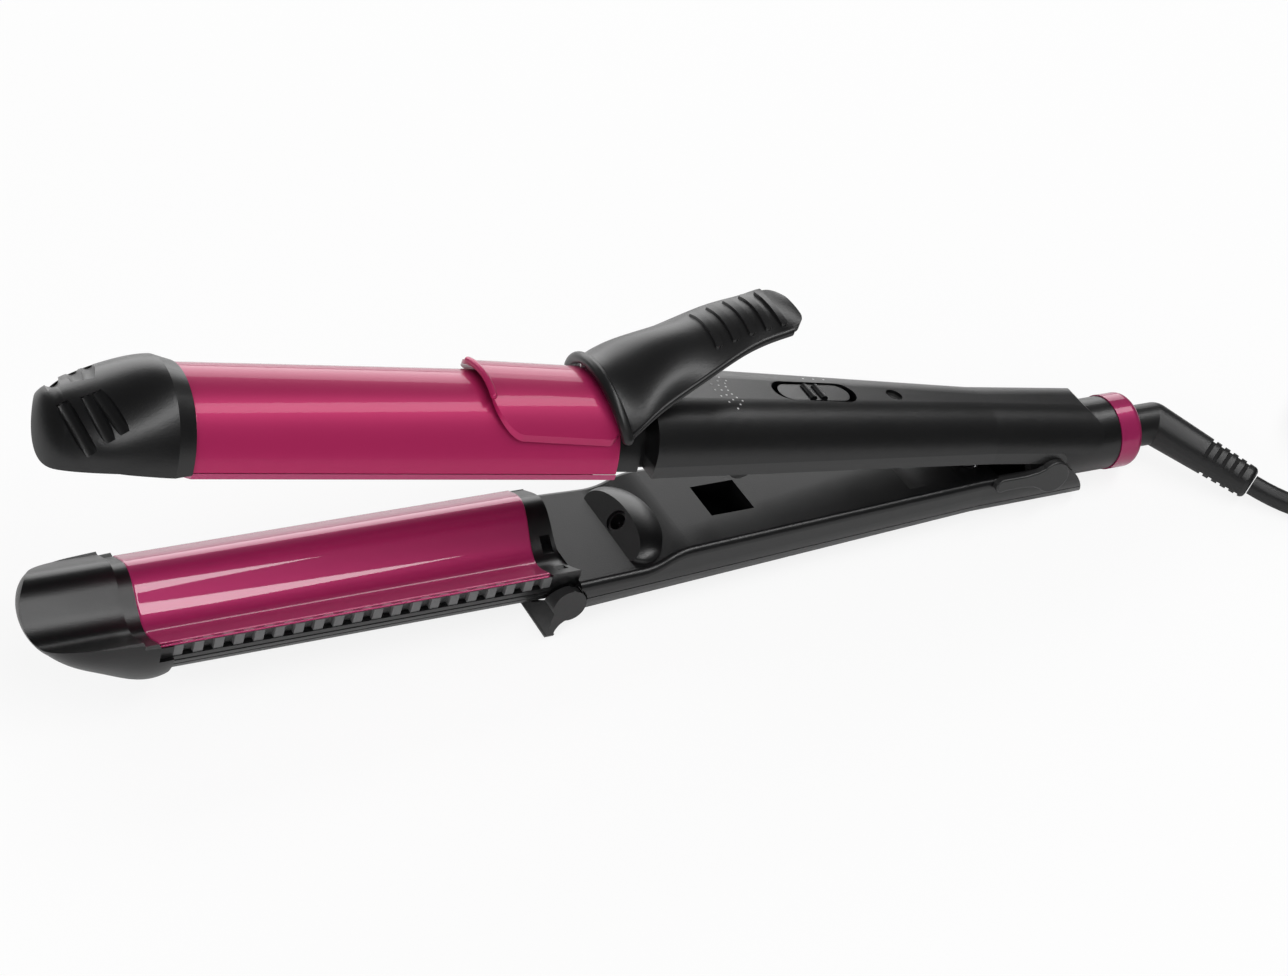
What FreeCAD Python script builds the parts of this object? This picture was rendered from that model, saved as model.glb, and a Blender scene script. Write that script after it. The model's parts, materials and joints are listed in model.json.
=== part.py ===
import FreeCAD, Part
import math
import os

from FreeCAD import Vector

# Two-arm hair styler: a wave-split heated barrel, long handles joined at the rear, a sprung
# clip on the upper arm and a swivelling mains lead. Both arms are drawn closed, along X, with
# the hinge pin on the Y axis at the origin, the tip at -X, the near side at -Y. The arms are
# then opened about the pin and set down on the rest foot and the rear edge of the lower handle.

# Barrel and heated plates
BARREL_R = 16.0
BARREL_WALL = 1.2
COVER_STEP = 0.4
COVER_WALL = 1.5
PLATE_LENGTH = 96.3
PLATE_SHEET = 1.4
PLATE_GAP = 0.3
WAVE_HEIGHT = 3.7
WAVE_SKEW = 0.46
PLATE_RAKE = 0.119
HEATER_END_GAP = 6.0
ELEMENT_SHEET = 2.0
SADDLE_LENGTH = 8.0
SADDLE_INSET = 14.0
NECK_SETBACK = 8.3
SEAT_GAP = 0.04

# Vent comb along both sides of the lower barrel
RIB_COUNT = 20
RIB_WIDTH = 2.2
RIB_HEIGHT = 1.4
COMB_WALL = 1.2
COMB_DROP = 5.0
RAIL_WIDTH = 0.7

# Tip caps
CAP_LENGTH = 26.2
CAP_RISE = 0.8
CAP_GAP = 0.6
TIP_LENGTH = 30.2
TIP_SWELL = 1.6
TIP_BAND = 4.2
SCORE_R = 1.6
SCORE_DEPTH = 0.3
SCREW_R = 1.5

# Handles
SOCKET_LENGTH = 6.0
HANDLE_LENGTH = 134.8
HANDLE_REAR = 13.2
HANDLE_WALL = 2.0
TAPER_END = -20.0
LOWER_CORNER = 10.5
LOWER_REAR_CORNER = 8.6
HINGE_DEPTH = 12.6
REAR_DEPTH = 12.0
COVER_SHEET = 2.0
LID_ROUND = 1.6
LID_END = -15.0
FRONT_DROP = 3.9
STEP_LENGTH = 14.0
STEP_TOP = -0.3
REAR_RISE = 0.8
UPPER_LENGTH = 123.6
UPPER_REAR = 14.7
UPPER_CORNER = 12.0
UPPER_REAR_CORNER = 10.0
HINGE_HEIGHT = 14.1
REAR_HEIGHT = 14.3
STRIP_HEIGHT = 3.0
UPPER_FRONT_EDGE = 1.4
UPPER_REAR_EDGE = 2.9
FLOOR_SHEET = 1.6
PARTING = 0.3

# Neck between the upper barrel and its handle
NECK_R = 14.5
NECK_LENGTH = 6.5
GROOVE_R = 12.6
NECK_FLOOR = 1.3

# Clip and thumb lever
CLIP_LENGTH = 34.5
CLIP_HALF_WIDTH = 14.2
CLIP_SHEET = 1.0
CLIP_LIFT = 0.9
CLIP_CORNER = 7.0
CLIP_REAR_CORNER = 3.0
CLIP_CLEARANCE = 0.3
LIP_R = 0.8
LEVER_LENGTH = 44.0
LEVER_PIN_R = 1.0
LEVER_SHEET = 2.4
LEVER_RAKE = 22.8
RIM_R = 1.4
RIB_COUNT_LEVER = 5
CHEEK_R = 1.9
CHEEK_SHEET = 2.0
LUG_R = 2.9
COLLAR_LENGTH = 4.2
COLLAR_SHEET = 1.7
RIVET_R = 1.0

# Switch and lamp
SWITCH_SETBACK = 50.8
SWITCH_LENGTH = 24.4
SWITCH_WIDTH = 8.0
SWITCH_TRAVEL = 1.6
SLIDER_LENGTH = 20.4
SLIDER_WIDTH = 6.6
SLIDE_CLEARANCE = 0.25
LAMP_SPACING = 24.4
LAMP_R = 2.2
BOARD_SETBACK = 19.6
BOARD_HALF_WIDTH = 9.5
BOARD_SHEET = 1.6
BOARD_RISE = 2.0

# Latch and ion outlet
WINDOW_SPACING = 30.9
WINDOW_LENGTH = 11.8
WINDOW_WIDTH = 11.8
TONGUE_R = 3.6
TONGUE_WIDTH = 8.6
TONGUE_DROP = 7.6
CATCH_SHEET = 1.9
HOOD_SETBACK = 15.1
HOOD_WIDTH = 30.0
HOOD_HEIGHT = 4.5
HOOD_REACH = 9.5
HOOD_HOLE_R = 2.8

# Hinge
PIN_R = 2.0
RUNNING_GAP = 0.06
EAR_R = 4.6
EAR_SHEET = 1.8
EAR_ARM = 17.4
EAR_ROUND = 0.5
EAR_HALF_HEIGHT = 1.9
HINGE_HALF_WIDTH = 12.8
UPPER_HALF_WIDTH = 12.4
KNUCKLE_SHEET = 2.6
KNUCKLE_R = 4.2
SPRING_X = -18.0
SPRING_R = 3.4
SPRING_WIRE = 0.9
SPRING_TURNS = 6
CUP_WALL = 1.2

# Rear collar, trim ring and swivel elbow
COLLAR_R = 9.5
COLLAR_BORE = 6.5
COLLAR_START = 6.0
RING_START = 24.0
RING_LENGTH = 7.3
RING_R = 9.8
ELBOW_STEM_R = 3.6
ELBOW_R = 5.5
ELBOW_END_R = 4.4
ELBOW_BEND = 55.8
ELBOW_ROLL = 76.9
ELBOW_LENGTH = 30.1
ELBOW_KNEE = 40.9
SLEEVE_GAP = 0.25
SLEEVE_ROUND = 1.4
SLOT_COUNT = 5
SLOT_WIDTH = 1.1
SLOT_CORE = 2.3

# Rest foot
FOOT_SETBACK = 2.6
FOOT_DISC_R = 4.2
FOOT_TIP_R = 1.2
FOOT_RAKE = 4.2
FOOT_DROP = 2.0
FOOT_CHEEK = 2.2
FOOT_ROUND = 2.2
FOOT_GAP = 0.5
FOOT_SHAFT_R = 1.5

# How far the upper arm stands open
OPEN_ANGLE = 10.5

# Mains lead: straight steps (length, compass turn in degrees) from the sleeve, the last of them
# in line with the object, the stored length folded into a hank, and the steps on to the plug
CORD_R = 2.7
LEAD_STEPS = [(14.0, 10.0), (18.0, 26.0)]
LEAD_LAST = 18.0
HANK_RUN = 68.0
HANK_FOLD = 16.0
HANK_STEPS = 4
HANK_LAYERS = 3
CORD_PITCH = 5.9
TAIL_STEPS = [(10.0, 0.0), (20.0, 3.0), (10.0, -3.0)]
PLUG_LENGTH = 34.0
PLUG_WIDTH = 35.3
PLUG_THICKNESS = 13.7
PLUG_PIN_R = 2.0
PLUG_PIN_LENGTH = 19.0
PLUG_PIN_SPACING = 18.6
PLUG_NECK = 14.0

PLATE_RIGHT = -(HANDLE_LENGTH + SOCKET_LENGTH)
PLATE_LEFT = PLATE_RIGHT - PLATE_LENGTH
CAP_SEAT = PLATE_LEFT
NECK_START = -(UPPER_LENGTH + NECK_LENGTH + 2.4)
COVER_R = BARREL_R + COVER_STEP
COVER_BORE = COVER_R - COVER_WALL
BARREL_BORE = BARREL_R - BARREL_WALL
HALF_GAP = PLATE_GAP / 2
HEATER_WIDTH = 1.554 * BARREL_BORE
HEATER_DEPTH = 0.54 * BARREL_BORE
ELEMENT_WIDTH = 0.61 * HEATER_WIDTH
SADDLE_WIDTH = 0.7 * HEATER_WIDTH
SCREW_Z = 0.5625 * BARREL_R
LEVER_FRONT = NECK_START - 0.6
LEVER_PIVOT_X = NECK_START + 1.8
LEVER_PIVOT_Z = 0.7875 * BARREL_R
LUG_HALF = 0.6 * BARREL_R
CHEEK_IN = LUG_HALF + 2.6
CHEEK_OUT = CHEEK_IN + CHEEK_SHEET
HOOD_X = -(HANDLE_LENGTH - HOOD_SETBACK)
WINDOW_X = HOOD_X + WINDOW_SPACING
SWITCH_X = -(UPPER_LENGTH - SWITCH_SETBACK)
LAMP_X = SWITCH_X + LAMP_SPACING
BOARD_FRONT = -(UPPER_LENGTH - BOARD_SETBACK)
BOARD_REAR = LAMP_X + 14.4
FOOT_PIVOT_X = -(HANDLE_LENGTH + FOOT_SETBACK)
FOOT_PIVOT_Z = -(COVER_R - 7.2)
FOOT_TIP_X = FOOT_PIVOT_X - FOOT_RAKE
FOOT_BOTTOM = -(COVER_R + FOOT_DROP)
FOOT_HALF_WIDTH = COVER_R + FOOT_CHEEK
FAR = 60.0

NODES = {}


def box(x0, x1, y0, y1, z0, z1):
    """Block between two corners."""
    return Part.makeBox(x1 - x0, y1 - y0, z1 - z0, Vector(x0, y0, z0))


def rod_x(radius, x0, x1, y=0.0, z=0.0):
    """Cylinder along X."""
    return Part.makeCylinder(radius, x1 - x0, Vector(x0, y, z), Vector(1, 0, 0))


def rod_y(radius, y0, y1, x=0.0, z=0.0):
    """Cylinder along Y."""
    return Part.makeCylinder(radius, y1 - y0, Vector(x, y0, z), Vector(0, 1, 0))


def rod_z(radius, z0, z1, x=0.0, y=0.0):
    """Cylinder along Z."""
    return Part.makeCylinder(radius, z1 - z0, Vector(x, y, z0), Vector(0, 0, 1))


def side_prism(points, y0, y1):
    """Outline in XZ carried across the width."""
    wire = Part.makePolygon([Vector(x, y0, z) for x, z in points + points[:1]])
    return Part.Face(wire).extrude(Vector(0, y1 - y0, 0))


def outline_prism(edges, y1):
    """Closed outline of edges at -FAR, carried across the width to y1."""
    return Part.Face(Part.Wire(edges)).extrude(Vector(0, y1 + FAR, 0))


def polyline(points):
    """Straight edges through points."""
    return [Part.makeLine(a, b) for a, b in zip(points[:-1], points[1:])]


def smooth_line(places):
    """One smooth edge in the XZ plane at -FAR through (x, z) places."""
    curve = Part.BSplineCurve()
    curve.interpolate([Vector(x, -FAR, z) for x, z in places])
    return curve.toShape()


def mirrored(shape):
    """Twin on the far side."""
    return shape.mirror(Vector(0, 0, 0), Vector(0, 1, 0))


def wave(y):
    """Height of the split between the arms, over the width."""
    turn = math.pi * y / BARREL_R
    return WAVE_HEIGHT * math.sin(turn) + WAVE_SKEW * math.sin(2 * turn)


def wave_edge(x, lift):
    """The split as one smooth edge at station x."""
    count = 16
    places = [BARREL_R * (2 * i / count - 1) for i in range(count + 1)]
    curve = Part.BSplineCurve()
    curve.interpolate([Vector(x, y, wave(y) + lift) for y in places])
    return curve.toShape()


def wave_side(x0, x1, lift, sign):
    """Everything above (+1) or below (-1) the split, moved by lift."""
    left = Vector(x0, -BARREL_R, wave(-BARREL_R) + lift)
    right = Vector(x0, BARREL_R, wave(BARREL_R) + lift)
    a = Vector(x0, -FAR, lift)
    b = Vector(x0, -FAR, sign * FAR)
    c = Vector(x0, FAR, sign * FAR)
    d = Vector(x0, FAR, lift)
    frame = Part.makePolygon([right, d, c, b, a, left])
    wire = Part.Wire([wave_edge(x0, lift)] + frame.Edges)
    return Part.Face(wire).extrude(Vector(x1 - x0, 0, 0))


def wave_sheet(x0, x1, low, high):
    """Wave-shaped plate between two lifts of the split."""
    edge_y = BARREL_R
    bottom = wave_edge(x0, low)
    top = wave_edge(x0, high)
    near = Part.makeLine(Vector(x0, -edge_y, low), Vector(x0, -edge_y, high))
    far = Part.makeLine(Vector(x0, edge_y, low), Vector(x0, edge_y, high))
    return Part.Face(Part.Wire([bottom, far, top, near])).extrude(Vector(x1 - x0, 0, 0))


def ellipse_wire(x, half_width, half_height, z=0.0):
    """Oval section at station x."""
    wide = half_width >= half_height
    major = max(half_width, half_height)
    minor = min(half_width, half_height)
    rim = Vector(x, half_width, z) if wide else Vector(x, 0, z + half_height)
    side = Vector(x, 0, z + half_height) if wide else Vector(x, -half_width, z)
    curve = Part.Ellipse(rim, side, Vector(x, 0, z))
    edge = curve.toShape()
    assert abs(curve.MajorRadius - major) < 0.001 and abs(curve.MinorRadius - minor) < 0.001
    return Part.Wire([edge])


def cap_body(stations):
    """Smooth oval body through (x, half width, half height) stations."""
    wires = [ellipse_wire(x, w, h) for x, w, h in stations]
    return Part.makeLoft(wires, True, False)


def ellipsoid(middle, reach, half_width, half_height):
    """Ball stretched to three half sizes."""
    ball = Part.makeSphere(1.0)
    fit = FreeCAD.Matrix()
    fit.scale(reach, half_width, half_height)
    ball = ball.transformGeometry(fit)
    ball.translate(middle)
    return ball


def nose(x, half_width, half_height, reach):
    """Rounded nose that leaves the section at x at 45 degrees and closes reach further on."""
    share = 1 / (half_width / reach - 1)
    length = reach / (1 - share)
    grow = 1 / math.sqrt(1 - share ** 2)
    blend = 0.1
    middle = Vector(x + length * share, 0, 0)
    return ellipsoid(middle, length, half_width * grow + blend, half_height * grow + blend)


def handle_wire(x, half_width, depth, corner, sign, reach):
    """Tray-like section: flat sides, round corners and a flat bottom (sign -1) or top (+1)."""
    w = half_width
    z_open = -sign * reach
    z_corner = sign * (depth - corner)
    z_flat = sign * depth
    dy = w - corner
    bulge = corner * math.sqrt(0.5)
    points = [Vector(x, -w, z_open), Vector(x, -w, z_corner), Vector(x, -dy, z_flat)]
    points += [Vector(x, dy, z_flat), Vector(x, w, z_corner), Vector(x, w, z_open)]
    near_mid = Vector(x, -dy - bulge, z_corner + sign * bulge)
    far_mid = Vector(x, dy + bulge, z_corner + sign * bulge)
    edges = [Part.makeLine(points[0], points[1])]
    edges.append(Part.Arc(points[1], near_mid, points[2]).toShape())
    edges.append(Part.makeLine(points[2], points[3]))
    edges.append(Part.Arc(points[3], far_mid, points[4]).toShape())
    edges.append(Part.makeLine(points[4], points[5]))
    edges.append(Part.makeLine(points[5], points[0]))
    return Part.Wire(edges)


def between(x, x0, x1, v0, v1):
    """Straight-line value between two stations."""
    return v0 + (v1 - v0) * (x - x0) / (x1 - x0)


def lower_section(x):
    """Half width, depth and corner radius of the lower handle at x."""
    front = -HANDLE_LENGTH
    if x < TAPER_END:
        width = between(x, front, TAPER_END, COVER_R + 1.8, HINGE_HALF_WIDTH)
        depth = between(x, front, TAPER_END, COVER_R + 0.5, HINGE_DEPTH)
    else:
        width = HINGE_HALF_WIDTH
        depth = between(x, TAPER_END, HANDLE_REAR, HINGE_DEPTH, REAR_DEPTH)
    return width, depth, between(x, front, HANDLE_REAR, LOWER_CORNER, LOWER_REAR_CORNER)


def upper_section(x):
    """Half width, height and corner radius of the upper handle at x."""
    front = -UPPER_LENGTH
    if x < TAPER_END:
        width = between(x, front, TAPER_END, BARREL_R + 1.2, UPPER_HALF_WIDTH)
        height = between(x, front, TAPER_END, BARREL_R - 0.1, HINGE_HEIGHT)
    else:
        width = UPPER_HALF_WIDTH
        height = between(x, TAPER_END, UPPER_REAR, HINGE_HEIGHT, REAR_HEIGHT)
    return width, height, between(x, front, UPPER_REAR, UPPER_CORNER, UPPER_REAR_CORNER)


def handle_body(section, x0, x1, sign, wall, reach=10.0):
    """Handle volume from x0 to x1, drawn in by wall all round."""
    wires = []
    for x in (x0, TAPER_END, x1):
        w, d, corner = section(x)
        wires.append(handle_wire(x, w - wall, d - wall, corner - wall, sign, reach))
    return Part.makeLoft(wires, True, True)


def rim_edges():
    """Side view of the lower handle's top edge: front deck, S-shaped step and rear deck."""
    step_start = HOOD_X + 0.7
    front = Vector(-HANDLE_LENGTH - 1.0, -FAR, -FRONT_DROP)
    low = Vector(step_start, -FAR, -FRONT_DROP)
    high = Vector(step_start + STEP_LENGTH, -FAR, STEP_TOP)
    rear = Vector(-5.0, -FAR, REAR_RISE)
    end = Vector(5.0, -FAR, REAR_RISE)
    rise = (rear - high).normalize()
    return polyline([front, low]) + biarc(low, Vector(1, 0, 0), high, rise) + polyline([high, rear, end])


def below_lower_rim(drop, tail=True):
    """Volume under the lower handle's top edge; the tail slopes down behind the hinge."""
    edges = rim_edges()
    front = Vector(-HANDLE_LENGTH - 1.0, -FAR, -FRONT_DROP)
    end = Vector(5.0, -FAR, REAR_RISE)
    if tail:
        behind = HANDLE_REAR + 0.2
        edges.append(smooth_line([(5.0, REAR_RISE), (8.2, -1.4), (10.6, -4.6), (behind, -9.8)]))
        end = Vector(behind, -FAR, -9.8)
    edges += polyline([end, Vector(end.x, -FAR, -FAR), Vector(front.x, -FAR, -FAR), front])
    volume = outline_prism(edges, FAR)
    volume.translate(Vector(0, 0, -drop))
    return volume


def lower_cover():
    """Half-round cover under the heated plate, notched along both sides for the vent combs."""
    tube = rod_x(COVER_R, PLATE_LEFT, -HANDLE_LENGTH).cut(rod_x(COVER_BORE, PLATE_LEFT, -HANDLE_LENGTH))
    seat = -HALF_GAP - PLATE_SHEET
    cover = tube.common(wave_side(PLATE_LEFT, -HANDLE_LENGTH, seat, -1))
    notch = box(comb_start(), comb_end(), -FAR, FAR, -COMB_DROP, FAR)
    cover = cover.cut(notch)
    for depth in (6.3, 8.4):
        y = math.sqrt(COVER_R ** 2 - depth ** 2)
        rail = box(comb_start(), PLATE_RIGHT, -y - 1, -y + 0.45, -depth - RAIL_WIDTH, -depth)
        cover = cover.cut(rail).cut(mirrored(rail))
    return cover


def comb_start():
    """Left end of the vent combs."""
    return PLATE_LEFT + 3.4


def comb_end():
    """Right end of the vent combs."""
    return PLATE_RIGHT - 1.2


def vent_comb():
    """Near vent comb: a thin wall with upright ribs, between the cover and the plate edge."""
    x0, x1 = comb_start(), comb_end()
    outer = COVER_R - 0.2
    root = outer - RIB_HEIGHT
    space = wave_side(x0, x1, -HALF_GAP - PLATE_SHEET, -1)
    space = space.common(box(x0, x1, -FAR, -HEATER_WIDTH / 2 - 0.6, -COMB_DROP, FAR))
    wall = rod_x(root, x0, x1).cut(rod_x(root - COMB_WALL, x0, x1))
    ring = rod_x(outer, x0, x1).cut(rod_x(root - 0.05, x0, x1))
    ribs = []
    pitch = (x1 - x0 - RIB_WIDTH) / (RIB_COUNT - 1)
    for i in range(RIB_COUNT):
        x = x0 + i * pitch
        ribs.append(box(x, x + RIB_WIDTH, -FAR, 0, -COMB_DROP, FAR))
    teeth = ring.common(Part.makeCompound(ribs))
    return wall.common(space).fuse(teeth.common(space)).removeSplitter()


def raked_end():
    """Space past the slanted right-hand end of the lower plate."""
    reach = 30.0
    a = Vector(PLATE_RIGHT - PLATE_RAKE * reach, -reach, -FAR)
    b = Vector(PLATE_RIGHT + PLATE_RAKE * reach, reach, -FAR)
    c = Vector(PLATE_RIGHT + FAR, reach, -FAR)
    d = Vector(PLATE_RIGHT + FAR, -reach, -FAR)
    return Part.Face(Part.makePolygon([a, d, c, b, a])).extrude(Vector(0, 0, 2 * FAR))


def lower_plate():
    """Heated wave plate of the lower arm."""
    sheet = wave_sheet(PLATE_LEFT, PLATE_RIGHT + 5, -HALF_GAP - PLATE_SHEET, -HALF_GAP)
    return sheet.cut(raked_end())


def heated_end(sign):
    """Rear end of an arm's heated stretch: the plate's end below, and short of the neck above."""
    return PLATE_RIGHT if sign < 0 else NECK_START - NECK_SETBACK


def heater_block(sign):
    """Wave-topped metal block that carries the plate's heat."""
    x0 = PLATE_LEFT + HEATER_END_GAP
    x1 = heated_end(sign) - HEATER_END_GAP
    lift = sign * (HALF_GAP + PLATE_SHEET)
    half = HEATER_WIDTH / 2
    low, high = sorted((0.0, sign * HEATER_DEPTH))
    reach = box(x0, x1, -half, half, min(low, -FAR * (sign > 0)), max(high, FAR * (sign < 0)))
    return reach.common(wave_side(x0, x1, lift, sign))


def heating_element(sign):
    """Flat ceramic heater pressed on the block."""
    half = ELEMENT_WIDTH / 2
    low, high = sorted((sign * HEATER_DEPTH, sign * (HEATER_DEPTH + ELEMENT_SHEET)))
    inset = 2 * HEATER_END_GAP
    return box(PLATE_LEFT + inset, heated_end(sign) - inset, -half, half, low, high)


def saddle(sign, x):
    """Heat-proof saddle that holds the heater off the shell."""
    bore = COVER_BORE if sign < 0 else BARREL_BORE
    start = HEATER_DEPTH + ELEMENT_SHEET
    low, high = sorted((sign * start, sign * FAR))
    half = SADDLE_WIDTH / 2
    block = box(x, x + SADDLE_LENGTH, -half, half, low, high)
    return block.common(rod_x(bore - SEAT_GAP, x, x + SADDLE_LENGTH))


def lower_cap_stations():
    """Station, half width and half height of the lower tip cap."""
    shares = [(-0.134, 1.061, 1.067), (0.076, 1.055, 1.11), (0.267, 1.03, 0.982), (0.458, 1.0, 0.811)]
    shares += [(0.63, 0.927, 0.671), (0.76, 0.811, 0.543), (0.855, 0.683, 0.415)]
    return [(CAP_SEAT - CAP_LENGTH * share, COVER_R * w, COVER_R * h) for share, w, h in shares]


def lower_cap():
    """Wave-topped tip of the lower arm, with a round belly that wraps the cover's end."""
    tip = CAP_SEAT - CAP_LENGTH
    stations = lower_cap_stations()
    x, w, h = stations[-1]
    body = cap_body(stations).fuse(nose(x, w, h, x - tip))
    ledge = CAP_SEAT - 3.6
    body = body.cut(wave_side(tip - 5, ledge, CAP_RISE, 1))
    body = body.cut(wave_side(ledge, CAP_SEAT + 5, -HALF_GAP - 0.3, 1))
    body = body.cut(rod_x(COVER_R + SEAT_GAP, CAP_SEAT, CAP_SEAT + 5))
    body = body.cut(box(CAP_SEAT, CAP_SEAT + 5, -FAR, FAR, -COMB_DROP, FAR))
    seat = rod_x(SCREW_R + SEAT_GAP, CAP_SEAT - 8, CAP_SEAT + 1, 0, -SCREW_Z)
    return body.cut(seat)


def cap_screw(z):
    """Screw that holds a tip cap, from inside the barrel."""
    shank = rod_x(SCREW_R, CAP_SEAT - 7.5, CAP_SEAT, 0, z)
    head = rod_x(2.6, CAP_SEAT, CAP_SEAT + 1.8, 0, z)
    return shank.fuse(head).cut(box(CAP_SEAT + 1.0, CAP_SEAT + 2, -3, 3, z - 0.35, z + 0.35))


def lower_end_block():
    """Black socket that receives the plate's right-hand end, with two lightening recesses."""
    x0, x1 = comb_end(), -HANDLE_LENGTH
    seat = -HALF_GAP - PLATE_SHEET
    block = rod_x(COVER_R, x0, x1).common(wave_side(x0, x1, -HALF_GAP - 0.7, -1))
    block = block.cut(box(x0, x1, -FAR, FAR, -FAR, -COMB_DROP))
    block = block.cut(lower_cover())
    under_plate = wave_side(x0, PLATE_RIGHT + 5, seat, 1).cut(raked_end())
    block = block.cut(under_plate)
    for y0, y1 in ((-0.75 * COVER_R, -0.46 * COVER_R), (-0.36 * COVER_R, -0.05 * COVER_R)):
        block = block.cut(box(PLATE_RIGHT + 2.4, x1 - 1.0, y0, y1, -COMB_DROP + 0.8, FAR))
    return block


def lower_handle_shell():
    """Open tray of the lower handle with its front bulkhead, parting line and rear cradle."""
    x0, x1 = -HANDLE_LENGTH, HANDLE_REAR
    outer = handle_body(lower_section, x0, x1, -1, 0.0)
    inner = handle_body(lower_section, x0 + HANDLE_WALL, x1 - 2.4, -1, HANDLE_WALL)
    shell = outer.cut(inner)
    cradle = box(COLLAR_START, x1 - 2.4, -9.6, 9.6, -11.0, -3.0)
    shell = shell.fuse(cradle.common(outer))
    covered = below_lower_rim(COVER_SHEET, False).common(box(x0 - 1, LID_END, -FAR, FAR, -FAR, FAR))
    open_end = below_lower_rim(0.0).common(box(LID_END, x1 + 1, -FAR, FAR, -FAR, FAR))
    shell = shell.common(covered.fuse(open_end))
    shell = shell.cut(rod_x(COLLAR_R + SEAT_GAP, COLLAR_START, x1 + 1))
    flange = rod_x(COLLAR_R + 1.2, x1 - 5.0, x1 - 2.4)
    shell = shell.cut(flange)
    for sign in (-1, 1):
        shell = shell.cut(foot_pocket(sign))
    shell = shell.cut(rod_y(PIN_R + SEAT_GAP, -FAR, FAR))
    groove = handle_body(lower_section, x0 - 0.5, x1 + 0.5, -1, 0.0).cut(
        handle_body(lower_section, x0 - 0.6, x1 + 0.6, -1, PARTING))
    belt = side_prism([(x0 - 2, -8.3), (x1 + 2, -6.3), (x1 + 2, -6.3 - PARTING), (x0 - 2, -8.3 - PARTING)],
                      -FAR, FAR)
    shell = shell.cut(groove.common(belt))
    bores = rod_y(FOOT_SHAFT_R + SEAT_GAP, -FAR, FAR, FOOT_PIVOT_X, FOOT_PIVOT_Z)
    return shell.cut(bores)


def foot_pocket(sign):
    """Round pocket at the handle's front corner that clears the rest foot's disc."""
    y0, y1 = sorted((sign * (COVER_R + 0.1), sign * FAR))
    return rod_y(FOOT_DISC_R + FOOT_GAP, y0, y1, FOOT_PIVOT_X, FOOT_PIVOT_Z)


def lower_inner_cover():
    """Flush lid of the lower handle with rounded edges, the ion hood and the latch window."""
    x0 = -HANDLE_LENGTH
    body = handle_body(lower_section, x0, HANDLE_REAR, -1, 0.0)
    lid = body.common(below_lower_rim(0.0, False)).cut(below_lower_rim(COVER_SHEET, False))
    lid = lid.common(box(x0, LID_END, -FAR, FAR, -FAR, FAR))
    lid = lid.makeFillet(LID_ROUND, [e for e in lid.Edges if on_lid_side(e)])
    scoop_r = 26.0
    lid = lid.cut(rod_y(scoop_r, -0.75 * HINGE_HALF_WIDTH, FAR, LID_END - 18.0, REAR_RISE + scoop_r - 1.5))
    lid = lid.cut(rod_z(cup_radius() + FOOT_GAP, -FAR, FAR, SPRING_X))
    lid = lid.fuse(hood())
    half = WINDOW_LENGTH / 2
    lid = lid.cut(box(WINDOW_X - half, WINDOW_X + half, -WINDOW_WIDTH / 2, WINDOW_WIDTH / 2, -FAR, FAR))
    lid = lid.cut(hood_bore(HOOD_HOLE_R, 9.0))
    for sign in (-1, 1):
        lid = lid.cut(foot_pocket(sign))
    return lid.removeSplitter()


def rim_level(x):
    """Height of the lower handle's top edge at x."""
    start = HOOD_X + 0.7
    if x < start:
        return -FRONT_DROP
    if x < start + STEP_LENGTH:
        share = (x - start) / STEP_LENGTH
        return -FRONT_DROP + (STEP_TOP + FRONT_DROP) * (1 - math.cos(math.pi * share)) / 2
    return between(x, start + STEP_LENGTH, -5.0, STEP_TOP, REAR_RISE)


def on_lid_side(edge):
    """True for the long top edges of the lid, along both sides."""
    middle = edge.CenterOfMass
    side = abs(abs(middle.y) - lower_section(middle.x)[0]) < 0.2
    return side and middle.z > rim_level(middle.x) - COVER_SHEET / 2 and edge.BoundBox.XLength > 3.0


def hood_frame():
    """Middle of the hood's sloping face and its outward direction."""
    slope = math.radians(45)
    middle = Vector(HOOD_X + HOOD_HEIGHT * 0.5, 0, -FRONT_DROP + HOOD_HEIGHT * 0.5)
    return middle, Vector(-math.sin(slope), 0, math.cos(slope))


def hood_bore(radius, depth):
    """Ion outlet bored square to the hood's face."""
    middle, out = hood_frame()
    return Part.makeCylinder(radius, depth, middle + out * 2.0, out * -1)


def hood():
    """Low dormer whose D-shaped face slopes back and whose short roof sinks into the step."""
    middle = Vector(HOOD_X + HOOD_HEIGHT + 0.5, 0, -FRONT_DROP)
    dome = ellipsoid(middle, HOOD_REACH, HOOD_WIDTH / 2, HOOD_HEIGHT + 0.2)
    centre = hood_frame()[0]
    face = Part.makeBox(FAR, FAR, FAR)
    face.translate(Vector(-FAR / 2, -FAR / 2, 0))
    face.rotate(Vector(0, 0, 0), Vector(0, 1, 0), -45)
    face.translate(centre)
    dome = dome.cut(face)
    floor = below_lower_rim(COVER_SHEET * 0.5, False)
    return dome.cut(floor)


def ion_nozzle():
    """Short sleeve pressed in the ion outlet."""
    middle, out = hood_frame()
    start = middle + out * -0.6
    sleeve = Part.makeCylinder(HOOD_HOLE_R - SEAT_GAP, 4.0, start, out * -1)
    bore = Part.makeCylinder(HOOD_HOLE_R - 0.7, 3.2, start + out * 0.1, out * -1)
    return sleeve.cut(bore)


def ion_needle():
    """Pointed electrode standing on the nozzle's floor."""
    middle, out = hood_frame()
    foot = middle + out * -3.7
    return Part.makeCone(0.5, 0.08, 2.4, foot, out)


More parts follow.
